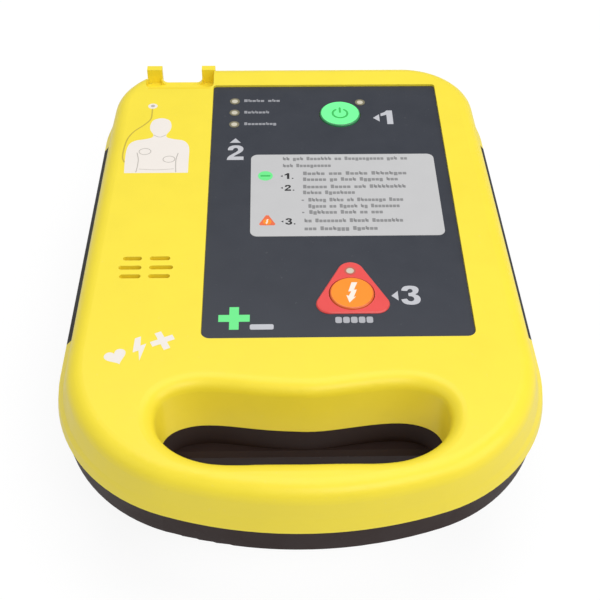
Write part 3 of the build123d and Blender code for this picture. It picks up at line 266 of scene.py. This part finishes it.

# keys and lenses
# the on/off key plastic carries a painted glow, emission of its own colour, though the key is no
# lamp
plastic("green_key_plastic", (112, 250, 150), rough=0.3, vary=0.04, grain=0.15,
        wear_rgb=(190, 255, 210), coat=0.2, painted_glow=0.14)
# the shock key plastic carries a painted glow, emission of its own colour, though the key is no lamp
plastic("orange_key_plastic", (250, 142, 34), rough=0.34, vary=0.04, grain=0.15, wear=0.2,
        wear_rgb=(255, 190, 100), coat=0.12, spec=0.3, painted_glow=0.08)
plastic("red_bezel_plastic", (234, 72, 70), rough=0.34, grain=0.18, wear=0.35,
        wear_rgb=(250, 150, 140), coat=0.15)
# darker copies of the key plastics: painted shade on the keys' sides, which sit in the shaded gap
# round each key
plastic("green_key_edge_shade", (58, 150, 92), rough=0.34, vary=0.06, grain=0.15, wear=0.2, coat=0.3)
plastic("orange_key_edge_shade", (226, 104, 40), rough=0.34, vary=0.06, grain=0.15, wear=0.2, coat=0.3)
# the lens plastic carries a faint painted glow, emission of its own colour, though the lenses are
# unlit
plastic("lens_plastic", (206, 200, 182), rough=0.24, vary=0.06, grain=0.05, wear=0.0, coat=0.4,
        painted_glow=0.02)
plastic("plunger_plastic", (45, 45, 46), rough=0.45, vary=0.1, grain=0.3, wear=0.3)

# inner parts
plastic("relay_plastic", (212, 206, 188), rough=0.45, grain=0.3, wear=0.3)
plastic("chip_resin", (36, 36, 38), rough=0.5, vary=0.12, grain=0.6, wear=0.3)
plastic("clamp_plastic", (205, 203, 196), rough=0.45, vary=0.04, grain=0.2, wear=0.2)
plastic("capacitor_sleeve", (30, 38, 74), rough=0.3, vary=0.1, grain=0.1, wear=0.3, coat=0.2)
plastic("cell_can", (70, 104, 168), rough=0.3, vary=0.08, grain=0.05, wear=0.3, coat=0.2)
plastic("ribbon_film", (196, 150, 74), rough=0.35, vary=0.06, grain=0.1, wear=0.0)
plastic("wire_sleeve", (168, 34, 30), rough=0.45, vary=0.08, grain=0.15, wear=0.0)
plastic("led_body", (232, 232, 226), rough=0.2, vary=0.04, grain=0.0, wear=0.0, coat=0.4)
plastic("cone_paper", (56, 54, 52), rough=0.8, vary=0.2, grain=0.9, grain_mm=0.8, wear=0.0)
plastic("ferrite_core", (66, 64, 66), rough=0.6, vary=0.15, grain=0.7, grain_mm=0.5, wear=0.4)
speaker_cloth()
copper_winding()
board_laminate()
metal("screw_steel", (190, 190, 194), rough=0.3, stretch=(1, 1, 6))
metal("can_steel", (205, 205, 205), rough=0.28, stretch=(1, 8, 1))
metal("spring_steel", (200, 200, 204), rough=0.25)
metal("contact_brass", (222, 186, 108), rough=0.28)
metal("sink_aluminium", (196, 198, 202), rough=0.38, stretch=(8, 1, 1))

# printed marks
ink("ink_olive", (128, 122, 98), vary=0.08)
ink("ink_light", (194, 195, 201), vary=0.03)
ink("ink_mid", (150, 151, 157), vary=0.05)
ink("ink_soft", (176, 177, 183), vary=0.04)
ink("ink_rim", (196, 104, 88), vary=0.08)
ink("ink_cream", (240, 233, 226), vary=0.02)
ink("ink_dark", (140, 140, 141), vary=0.08)
ink("ink_black", (44, 44, 46), vary=0.1)
ink("ink_line", (206, 184, 66), vary=0.06)
# painted shade: deeper yellow for the shaded step at the edge of the plug notch
ink("painted_notch_shade", (246, 218, 44), vary=0.03, rough=0.45)
ink("ink_shade", (186, 180, 172), vary=0.05)
ink("ink_green", (112, 236, 142), vary=0.03)
ink("ink_deep_green", (64, 190, 96), vary=0.05)
ink("ink_red", (236, 112, 70), vary=0.04)
# white ink with a painted glow: emission of its own colour makes the printed bolts brighter
ink("ink_white", (255, 228, 216), vary=0.02, rough=0.45, painted_glow=0.1)

# material: the CAD pieces made of it
PIECES = {
    "yellow_plastic": "top_case",
    "dark_plastic": "bottom_case battery_case battery_lid",
    "socket_plastic": "pads_socket",
    "latch_plastic": "battery_latch",
    "grip_rubber": "left_side_grip right_side_grip",
    "foot_rubber": "rubber_feet",
    "seal_rubber": "case_seal",
    "panel_film": "panel_overlay",
    "label_film": "instruction_label",
    "green_key_plastic": "onoff_key",
    "orange_key_plastic": "shock_key",
    "red_bezel_plastic": "shock_bezel",
    "plunger_plastic": "onoff_plunger shock_plunger tact_switches",
    "lens_plastic": "status_lenses power_lens shock_lens",
    "board_laminate": "key_board main_board power_board battery_board",
    "screw_steel": "case_screws handle_screws key_board_screws main_board_screws "
                   "power_board_screws",
    "spring_steel": "latch_springs snap_discs",
    "led_body": "indicator_leds",
    "speaker_cloth": "speaker_mesh",
    "can_steel": "speaker_basket shield_can cell_straps",
    "cone_paper": "speaker_cone",
    "ferrite_core": "speaker_magnet transformer_core",
    "contact_brass": "socket_contacts bay_contacts battery_terminals capacitor_terminals",
    "capacitor_sleeve": "hv_capacitor",
    "clamp_plastic": "capacitor_clamp",
    "copper_winding": "transformer_coil",
    "relay_plastic": "discharge_relay terminal_block board_connectors",
    "sink_aluminium": "heat_sink",
    "chip_resin": "power_transistors board_chips",
    "ribbon_film": "key_ribbon",
    "wire_sleeve": "speaker_wires socket_wires",
    "cell_can": "battery_cells",
}
LOOK = {piece: name for name, pieces in PIECES.items() for piece in pieces.split()}

for piece, obj in nodes.items():
    obj.data.materials.clear()
    obj.data.materials.append(MATERIALS[LOOK[piece]])
    for face in obj.data.polygons:
        face.material_index = 0
        face.use_smooth = True


def paint_key_edge_shade(key, rim):
    """Give the darker material to all but the flat top face of a key, as painted shade on its sloped
    sides and edge.
    """
    mesh = nodes[key].data
    mesh.materials.append(MATERIALS[rim])
    top = max(vertex.co.z for vertex in mesh.vertices)
    for face in mesh.polygons:
        if face.normal.z < 0.985 or face.center.z < top - 0.0004:
            face.material_index = 1


paint_key_edge_shade("onoff_key", "green_key_edge_shade")
paint_key_edge_shade("shock_key", "orange_key_edge_shade")


# --------------------------------------------------------------------------
# drawing in millimetres: a shape is (outer loop, [hole loops])
# --------------------------------------------------------------------------
def area(loop):
    return sum(a[0] * b[1] - b[0] * a[1] for a, b in zip(loop, loop[1:] + loop[:1])) / 2


def plate(name, shapes, heights, material, body="housing"):
    """A thin closed plate of flat shapes between two heights (bottom, top)."""
    bm = bmesh.new()
    for outer, holes in shapes:
        loops = [outer if area(outer) > 0 else outer[::-1]]
        loops += [hole if area(hole) < 0 else hole[::-1] for hole in holes]
        flat = [point for loop in loops for point in loop]
        triangles = tessellate_polygon([[Vector((x, y, 0)) for x, y in loop] for loop in loops])
        bottom, top = [[bm.verts.new((x * MM, y * MM, z * MM)) for x, y in flat]
                       for z in heights[::-1]][::-1]
        for i, j, k in triangles:
            if area([flat[i], flat[j], flat[k]]) < 0:
                j, k = k, j
            # skips a triangle that the tessellation repeats or collapses
            try:
                bm.faces.new((top[i], top[j], top[k]))
                bm.faces.new((bottom[k], bottom[j], bottom[i]))
            except ValueError:
                pass
        first = 0
        for loop in loops:
            count = len(loop)
            for step in range(count):
                i = first + step
                j = first + (step + 1) % count
                bm.faces.new((bottom[i], bottom[j], top[j], top[i]))
            first += count
    mesh = bpy.data.meshes.new(name)
    bm.to_mesh(mesh)
    bm.free()
    obj = bpy.data.objects.new(name, mesh)
    scene.collection.objects.link(obj)
    mesh.materials.append(MATERIALS[material])
    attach(obj, body)


def smooth(points, closed=True, steps=8):
    """Catmull-Rom curve through the points."""
    out = []
    count = len(points)
    for i in range(count if closed else count - 1):
        if closed:
            around = (points[i - 1], points[i], points[(i + 1) % count], points[(i + 2) % count])
        else:
            around = (points[max(i - 1, 0)], points[i], points[i + 1],
                      points[min(i + 2, count - 1)])
        for k in range(steps):
            t = k / steps
            out.append(tuple(0.5 * ((2 * b) + (-a + c) * t + (2 * a - 5 * b + 4 * c - d) * t * t
                                    + (-a + 3 * b - 3 * c + d) * t ** 3)
                             for a, b, c, d in zip(*around)))
    if not closed:
        out.append(tuple(points[-1]))
    return out


def arc(cx, cy, radius, start, end, steps, radius_y=None):
    """Points from the start to the end angle, in degrees."""
    radius_y = radius_y or radius
    angles = [math.radians(start + (end - start) * i / steps) for i in range(steps + 1)]
    return [(cx + radius * math.cos(a), cy + radius_y * math.sin(a)) for a in angles]


def circle(cx, cy, radius, count=36, radius_y=None):
    return arc(cx, cy, radius, 0, 360 - 360 / count, count - 1, radius_y)


def offset(points, distance, closed):
    """The points moved to the left of their direction of travel."""
    out = []
    count = len(points)
    for i, (x, y) in enumerate(points):
        before = points[i - 1] if (closed or i) else points[i]
        after = points[(i + 1) % count] if (closed or i < count - 1) else points[i]
        dx, dy = after[0] - before[0], after[1] - before[1]
        length = math.hypot(dx, dy) or 1.0
        out.append((x - dy / length * distance, y + dx / length * distance))
    return out


def round_cap(end, side):
    """Inner points of the half circle that starts at side and turns clockwise round end."""
    angle = math.degrees(math.atan2(side[1] - end[1], side[0] - end[0]))
    return arc(end[0], end[1], math.dist(end, side), angle, angle - 180, 6)[1:-1]


def stroke(points, width):
    """An open line with round ends."""
    left = offset(points, width / 2, closed=False)
    right = offset(points, -width / 2, closed=False)
    return (left + round_cap(points[-1], left[-1]) + right[::-1]
            + round_cap(points[0], right[0]), [])


def ring(points, width):
    one = offset(points, width / 2, closed=True)
    other = offset(points, -width / 2, closed=True)
    return (one, [other]) if abs(area(one)) > abs(area(other)) else (other, [one])


def rounded_box(x0, y0, x1, y1, radius=0.3, steps=3):
    radius = min(radius, (x1 - x0) / 2 - 1e-3, (y1 - y0) / 2 - 1e-3)
    left, right, low, high = x0 + radius, x1 - radius, y0 + radius, y1 - radius
    points = []
    for cx, cy, start in ((right, high, 0), (left, high, 90), (left, low, 180), (right, low, 270)):
        points += arc(cx, cy, radius, start, start + 90, steps)
    return (points, [])


def cross(half_width, reach_x, reach_y):
    w = half_width
    return ([(-w, reach_y), (w, reach_y), (w, w), (reach_x, w), (reach_x, -w), (w, -w),
             (w, -reach_y), (-w, -reach_y), (-w, -w), (-reach_x, -w), (-reach_x, w), (-w, w)], [])


def place(shape, cx, cy, angle=0.0, scale=1.0):
    """Turn by angle degrees, scale, then move to cx, cy."""
    c = math.cos(math.radians(angle)) * scale
    s = math.sin(math.radians(angle)) * scale

    def move(loop):
        return [(cx + x * c - y * s, cy + x * s + y * c) for x, y in loop]

    return (move(shape[0]), [move(hole) for hole in shape[1]])


def blocks(x0, x1, y, height, words):
    """A line of little blocks of uneven height standing for words of the given lengths."""
    space, gap = 0.8, 0.16      # between words and between blocks, in block widths
    out = []
    unit = (x1 - x0) / (sum(words) + space * (len(words) - 1))
    x = x0
    base = y - 0.5 * height
    for count in words:
        for i in range(count):
            left, right = x + unit * (i + gap / 2), x + unit * (i + 1 - gap / 2)
            kind = word_random.random()
            low, high = base + 0.22 * height, base + 0.78 * height
            if i == 0 and count > 3:
                high = base + height
            elif kind < 0.22:
                # a tall stem at the left, with the block moved over to clear it
                out.append(rounded_box(left, low + 0.1 * height, left + 0.42 * (right - left),
                                       base + height, 0.12, 1))
                left = left + 0.34 * (right - left)
            elif kind < 0.34:
                low = base + 0.04 * height
            if count == 1 and kind < 0.5:
                high = base + height
            out.append(rounded_box(left, low, right, high, 0.22, 2))
        x += unit * (count + space)
    return out


# --------------------------------------------------------------------------
# outlines (x, y), centred on 0, 0
# --------------------------------------------------------------------------
# digits about 12 tall and 8.4 wide
ONE = [(0.2, 6.0), (3.1, 6.0), (3.1, -6.0), (-0.1, -6.0), (-0.1, 2.3), (-3.2, 1.0), (-3.2, 3.3),
       (-1.2, 4.4)]
TWO = [
    (-3.9, 2.2), (-3.9, 3.4), (-3.1, 4.9), (-1.6, 5.8), (0.3, 6.0), (2.3, 5.6), (3.7, 4.3),
    (4.0, 2.8), (3.5, 1.2), (2.3, -0.3), (0.6, -1.7), (-0.5, -2.7), (-0.9, -3.2), (-0.4, -3.3),
    (3.7, -3.3), (4.1, -3.5), (4.1, -5.8), (3.9, -6.0), (-4.1, -6.0), (-4.3, -5.8),
    (-4.1, -4.4), (-3.3, -2.9), (-1.6, -1.2), (0.1, 0.3), (1.1, 1.5), (1.3, 2.6), (0.9, 3.5),
    (0.1, 3.9), (-0.7, 3.6), (-1.2, 2.9), (-1.4, 2.2), (-1.7, 2.0), (-3.6, 2.0)]
THREE = [
    (-3.9, 3.1), (-3.6, 4.3), (-2.6, 5.5), (-0.9, 6.0), (1.0, 6.0), (2.8, 5.5), (3.8, 4.3),
    (3.9, 3.0), (3.4, 1.5), (2.3, 0.5), (3.6, -0.4), (4.3, -1.9), (4.2, -3.7), (3.2, -5.2),
    (1.3, -6.0), (-1.0, -6.0), (-2.9, -5.4), (-4.0, -4.1), (-4.3, -2.9), (-4.0, -2.6),
    (-1.9, -2.3), (-1.5, -3.0), (-0.7, -3.8), (0.4, -3.9), (1.2, -3.3), (1.5, -2.3),
    (1.2, -1.4), (0.4, -0.8), (-0.7, -0.6), (-0.9, -0.3), (-0.9, 1.1), (-0.7, 1.4), (0.2, 1.5),
    (1.0, 2.1), (1.2, 2.9), (0.9, 3.6), (0.2, 4.0), (-0.6, 3.8), (-1.2, 3.0), (-1.6, 2.7),
    (-3.6, 2.9)]
DIGITS = {1: (ONE, []), 2: (smooth(TWO, steps=4), []), 3: (smooth(THREE, steps=4), [])}

BOLT = ([(-0.1, 7.0), (2.7, 7.0), (0.8, 1.9), (2.2, 1.9), (0.5, -3.0), (1.6, -2.7),
         (-1.7, -6.8), (-3.0, -1.7), (-1.8, -2.2), (-0.5, 0.8), (-1.9, 0.8)], [])
SIGN_BOLT = ([(0.6, 6.4), (3.4, 6.4), (1.2, 1.4), (3.9, 1.4), (-2.4, -6.6), (-0.5, -0.9),
              (-3.2, -0.9)], [])


# --------------------------------------------------------------------------
# heights of the printed marks, a few hundredths above the skin
# --------------------------------------------------------------------------
SINK = 0.02     # how far a mark reaches into what it lies on


def top_of(piece):
    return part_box(piece)[1].z / MM


def over(skin, rise, start=-SINK):
    return (skin + start, skin + rise)


CASE_Z = top_of("top_case")
PANEL_Z = top_of("panel_overlay")
LABEL_Z = top_of("instruction_label")
PANEL_PRINT = over(PANEL_Z, 0.04)
LABEL_PRINT = over(LABEL_Z, 0.03)
CASE_PRINT = over(CASE_Z, 0.05)
CASE_LOW_PRINT = over(CASE_Z, 0.04)
CASE_DETAIL = over(CASE_Z, 0.07, start=0.03)    # drawn on top of CASE_PRINT


# --------------------------------------------------------------------------
# panel
# --------------------------------------------------------------------------
for number, (x, y) in ((2, (-30.8, 64.7)), (1, (48.9, 94.1)), (3, (50.0, -40.0))):
    plate(f"digit_{number}_0", [place(DIGITS[number], x, y)], PANEL_PRINT, "ink_light")
plate("panel_arrows", [([(-33.9, 72.9), (-28.2, 72.9), (-31.0, 76.6)], []),
                       ([(41.5, 93.6), (44.9, 90.4), (44.9, 96.8)], []),
                       ([(41.3, -40.3), (44.4, -43.4), (44.4, -37.2)], [])],
      PANEL_PRINT, "ink_light")
plate("panel_bars", blocks(-27.1, -7.6, 109.4, 3.0, [5, 3]) + blocks(-26.9, -13.4, 99.0, 3.0, [7])
      + blocks(-26.8, -9.7, 88.8, 3.0, [9]), PANEL_PRINT, "ink_mid")

# row of five blank bars
BAR_PITCH = 3.46
plate("key_word_bars", [rounded_box(15.4 + BAR_PITCH * i, -57.1, 18.3 + BAR_PITCH * i, -53.3, 0.9, 4)
                        for i in range(5)], PANEL_PRINT, "ink_soft")

# plain cross with a blank bar to its lower right
plate("green_cross", [place(cross(1.9, 6.2, 6.2), -29.4, -53.6, scale=1.12)],
      PANEL_PRINT, "ink_green")
plate("blank_bar", [rounded_box(-22.4, -60.6, -11.9, -57.4, 0.8, 4)], PANEL_PRINT, "ink_light")


# --------------------------------------------------------------------------
# instruction label
# --------------------------------------------------------------------------
# y, left x, right x, word lengths
LABEL_LINES = [
    (58.8, -6.8, 56.8, [2, 3, 7, 2, 11, 3, 2]),
    (53.2, -6.8, 17.7, [3, 10]),
    (46.9, 3.2, 55.5, [5, 3, 5, 8]),
    (42.2, 3.1, 50.8, [6, 2, 4, 6, 3]),
    (36.5, 3.0, 54.3, [6, 5, 3, 9]),
    (32.0, 2.9, 28.8, [5, 8]),
    (26.4, 5.4, 52.2, [5, 4, 2, 8, 4]),
    (21.7, 5.3, 50.1, [5, 2, 5, 2, 8]),
    (17.2, 5.6, 41.6, [7, 4, 2, 3]),
    (11.0, 3.1, 50.9, [2, 8, 5, 8]),
    (5.3, 3.0, 38.3, [3, 7, 6]),
]
lines = []
for y, x0, x1, words in LABEL_LINES:
    lines += blocks(x0, x1, y, 3.5, words)
for y in (25.9, 16.8):      # bullets
    lines.append(rounded_box(2.2, y, 3.4, y + 1.0, 0.4))
plate("label_lines", lines, LABEL_PRINT, "ink_dark")

# step digits, each with a pointer at its left and a full stop at its right
pointers = []
for number, (x, y) in ((1, (-4.7, 45.2)), (2, (-4.4, 36.0)), (3, (-4.3, 10.8))):
    plate(f"step_{number}_0", [place(DIGITS[number], x, y, scale=0.38)], LABEL_PRINT, "ink_black")
    pointers.append(([(-8.0, y), (-6.9, y - 0.7), (-6.9, y + 0.7)], []))
    pointers.append(rounded_box(x + 2.4, y - 2.2, x + 3.2, y - 1.4, 0.3))
plate("label_pointers", pointers, LABEL_PRINT, "ink_black")

# icons left of the steps
plate("label_green_dot", [(circle(-15.5, 45.5, 3.7, 45), [])], LABEL_PRINT, "ink_green")
plate("label_green_line", [rounded_box(-18.0, 44.9, -13.0, 46.1, 0.4)],
      over(LABEL_Z, 0.05, start=0.0), "ink_deep_green")
TRIANGLE = [(-18.6, 9.0), (-18.0, 8.1), (-11.3, 8.1), (-10.7, 9.0), (-14.0, 15.4), (-15.3, 15.4)]
plate("label_red_triangle", [(TRIANGLE, [])], LABEL_PRINT, "ink_red")
# the orange dot uses the key plastic, painted glow included
plate("label_orange_dot", [(circle(-14.65, 10.6, 2.0), [])],
      over(LABEL_Z, 0.045, start=0.0), "orange_key_plastic")
plate("label_bolt", [place(BOLT, -14.7, 10.7, scale=0.26)],
      over(LABEL_Z, 0.06, start=0.02), "ink_white")


# --------------------------------------------------------------------------
# lamp rims and key signs
# --------------------------------------------------------------------------
LENS_RISE = 0.03    # rim above the lens


def lamp_rim(x, y, outer, inner):
    return (circle(x, y, outer, 45), [circle(x, y, inner, 45)])


LAMPS = [(-31.9, 109.0), (-31.9, 98.8), (-31.9, 88.5), (35.3, 107.5)]
plate("lamp_rims", [lamp_rim(x, y, 2.65, 1.6) for x, y in LAMPS],
      (PANEL_Z - SINK, top_of("status_lenses") + LENS_RISE), "ink_olive")
plate("shock_lamp_rim", [lamp_rim(23.4, -24.6, 2.6, 1.75)],
      (top_of("shock_bezel") - SINK, top_of("shock_lens") + LENS_RISE), "ink_rim")

plate("key_bolt", [place(BOLT, 23.7, -39.4, scale=0.94)], over(top_of("shock_key"), 0.05),
      "ink_white", "shock_button")

POWER_X, POWER_Y = 24.1, 96.7
POWER_LINE = 1.15
POWER_SIGN = {
    "key_power_ring": arc(POWER_X, POWER_Y - 0.3, 3.9, 125, 415, 36),
    "key_power_bar": [(POWER_X, POWER_Y + 0.7), (POWER_X, POWER_Y + 4.4)],
}
for name, points in POWER_SIGN.items():
    plate(name, [stroke(points, POWER_LINE)], over(top_of("onoff_key"), 0.05),
          "ink_deep_green", "power_button")


# --------------------------------------------------------------------------
# blank-faced figure on the case, left of the panel, showing where the pads go
# --------------------------------------------------------------------------
def open_curve(points, width):
    return stroke(smooth(points, closed=False), width)


# head and shoulders, from the lower left round to the lower right
FIGURE = [
    (-86.2, 47.3), (-86.6, 56.0), (-86.5, 66.0), (-85.3, 70.9), (-82.6, 73.6), (-78.0, 74.8),
    (-74.3, 76.2), (-73.6, 78.6), (-75.4, 82.6), (-75.7, 87.0), (-74.2, 91.2), (-70.2, 92.9),
    (-66.2, 91.2), (-64.7, 87.0), (-65.0, 82.6), (-66.8, 78.6), (-66.2, 76.2), (-62.6, 74.8),
    (-58.2, 73.7), (-55.7, 71.0), (-54.5, 66.4), (-54.4, 56.0), (-54.3, 47.3)]
plate("figure", [(smooth(FIGURE, closed=False, steps=6), [])], CASE_PRINT, "ink_cream")
plate("figure_lines", [
    # arms
    open_curve([(-80.9, 63.5), (-79.9, 58.0), (-80.0, 52.0), (-80.4, 47.9)], 0.45),
    open_curve([(-60.0, 63.0), (-60.8, 58.0), (-60.7, 52.0), (-60.4, 47.9)], 0.45),
    # neck and waist
    open_curve([(-73.4, 78.4), (-70.2, 76.6), (-67.0, 78.4)], 0.35),
    open_curve([(-79.0, 50.4), (-70.3, 49.7), (-61.6, 50.4)], 0.3),
    # pads
    ring(circle(-77.0, 64.6, 3.0, radius_y=2.5), 0.4),
    ring(circle(-64.4, 58.2, 3.0, radius_y=2.5), 0.4)], CASE_DETAIL, "ink_shade")
plate("figure_lead", [open_curve(
    [(-75.6, 101.4), (-75.5, 97.0), (-76.0, 91.8), (-79.4, 86.6), (-83.6, 81.8), (-86.6, 75.6),
     (-87.9, 67.0), (-88.0, 60.0), (-86.9, 56.2)], 0.75)], CASE_LOW_PRINT, "ink_line")
plate("figure_plug", [(circle(-75.5, 103.7, 2.5, radius_y=2.3), [])], CASE_PRINT, "ink_cream")
plate("figure_plug_core", [(circle(-75.5, 103.8, 1.1), [])], CASE_DETAIL, "ink_shade")

# painted shade along the edge of the plug notch: a deeper yellow strip standing in for the shaded
# step
plate("notch_edge_shade", [rounded_box(-79.2, 119.5, -45.4, 120.8, 0.5, 4)],
      over(CASE_Z, 0.03), "painted_notch_shade")


# --------------------------------------------------------------------------
# slanted row of plain signs at the front left of the case
# --------------------------------------------------------------------------
def heart():
    size = 0.30
    turns = [2 * math.pi * i / 48 for i in range(48)]
    return ([(size * 16 * math.sin(a) ** 3,
              size * (13 * math.cos(a) - 5 * math.cos(2 * a) - 2 * math.cos(3 * a)
                      - math.cos(4 * a)) + 0.7) for a in turns], [])


SIGN_SLANT = 25     # degrees
for name, shape, x, y in (("sign_heart", heart(), -79.2, -77.4),
                          ("sign_bolt", SIGN_BOLT, -69.9, -72.3),
                          ("sign_cross", cross(1.5, 5.2, 5.4), -60.1, -67.7)):
    plate(name, [place(shape, x, y, SIGN_SLANT)], CASE_PRINT, "ink_cream")


# --------------------------------------------------------------------------
# stage, light and camera
# --------------------------------------------------------------------------
def floor_paper():
    """White paper that glows evenly and is clear from below."""
    shader = Shader("floor_paper")
    cloud = shader.noise(scale=3.0, detail=3.0, rough=0.5)
    shader.surface("Base Color", shader.mix(shader.ramp(cloud), (0.93, 0.93, 0.93, 1),
                                            (0.96, 0.96, 0.96, 1)))
    shader.surface("Roughness", 0.9)
    shader.surface("Specular IOR Level", 0.1)
    seen = shader.mix_shaders(0.84, shader.principled.outputs[0], shader.emission(strength=1.04))
    # the light it sends back keeps the underside of the object from going black
    lift = shader.emission(strength=0.78)
    ray = shader.add("ShaderNodeLightPath")
    above = shader.mix_shaders(ray.outputs["Is Camera Ray"], lift, seen)
    clear = shader.add("ShaderNodeBsdfTransparent").outputs[0]
    geometry = shader.add("ShaderNodeNewGeometry")
    result = shader.mix_shaders(geometry.outputs["Backfacing"], above, clear)
    shader.feed(shader.tree.nodes["Material Output"].inputs["Surface"], result)
    shader.material.cycles.emission_sampling = "NONE"
    return shader.material


def build_floor():
    bpy.ops.mesh.primitive_plane_add(size=8.0, location=(0, 0, -0.0002))
    floor = bpy.context.object
    floor.name = "floor"
    floor.data.materials.append(floor_paper())


def build_world():
    """A backdrop that is pale where seen and gives only a soft fill to the object."""
    world = bpy.data.worlds.new("studio")
    scene.world = world
    world.use_nodes = True
    tree = world.node_tree
    background = tree.nodes["Background"]
    background.inputs["Color"].default_value = (1, 1, 1, 1)
    ray = tree.nodes.new("ShaderNodeLightPath")
    strength = tree.nodes.new("ShaderNodeMapRange")
    strength.inputs["To Min"].default_value = 0.36      # fill
    strength.inputs["To Max"].default_value = 0.92      # as seen
    tree.links.new(ray.outputs["Is Camera Ray"], strength.inputs["Value"])
    tree.links.new(strength.outputs["Result"], background.inputs["Strength"])


# name, place, target, (width, height), watts
LIGHTS = [
    ("softbox_top", (0.1, 0.35, 1.6), (0, 0, 0.05), (1.6, 1.4), 14.4),
    ("softbox_left", (-1.3, -0.5, 1.0), (0, 0, 0.05), (0.9, 0.9), 1.1),
    ("softbox_right", (1.3, -0.6, 0.9), (0, 0, 0.05), (0.9, 0.9), 5.4),
    ("softbox_front", (0.5, -1.25, 1.35), (0, -0.06, 0.06), (0.9, 0.8), 8.4),
]


def build_light(name, location, target, size, power):
    lamp = bpy.data.lights.new(name, "AREA")
    lamp.shape = "RECTANGLE"
    lamp.size, lamp.size_y = size
    lamp.energy = power
    obj = bpy.data.objects.new(name, lamp)
    scene.collection.objects.link(obj)
    obj.location = location
    obj.rotation_mode = "QUATERNION"
    obj.rotation_quaternion = (Vector(target) - Vector(location)).to_track_quat("-Z", "Y")


def build_camera():
    lens = bpy.data.cameras.new("camera")
    lens.sensor_width = 36.0
    lens.lens = 72.0
    lens.clip_start, lens.clip_end = 0.02, 20.0
    camera = bpy.data.objects.new("camera", lens)
    scene.collection.objects.link(camera)
    # radians: tilt below the horizon, turn towards +X, roll about the view
    tilt, yaw, roll = 0.78511, 0.028161, -0.010948
    place_mm = Vector((-10.72, -423.79, 469.16))
    forward = Vector((math.sin(yaw) * math.cos(tilt), math.cos(yaw) * math.cos(tilt),
                      -math.sin(tilt)))
    level = Vector((math.cos(yaw), -math.sin(yaw), 0.0))
    drop = forward.cross(level)
    right = math.cos(roll) * level + math.sin(roll) * drop
    down = -math.sin(roll) * level + math.cos(roll) * drop
    rotation = Matrix((right, -down, -forward)).transposed()
    camera.matrix_world = Matrix.Translation(place_mm * MM) @ rotation.to_4x4()
    scene.camera = camera


build_floor()
build_world()
for entry in LIGHTS:
    build_light(*entry)
build_camera()

scene.view_settings.view_transform = "Standard"
scene.view_settings.look = "None"
scene.view_settings.exposure = 0.0
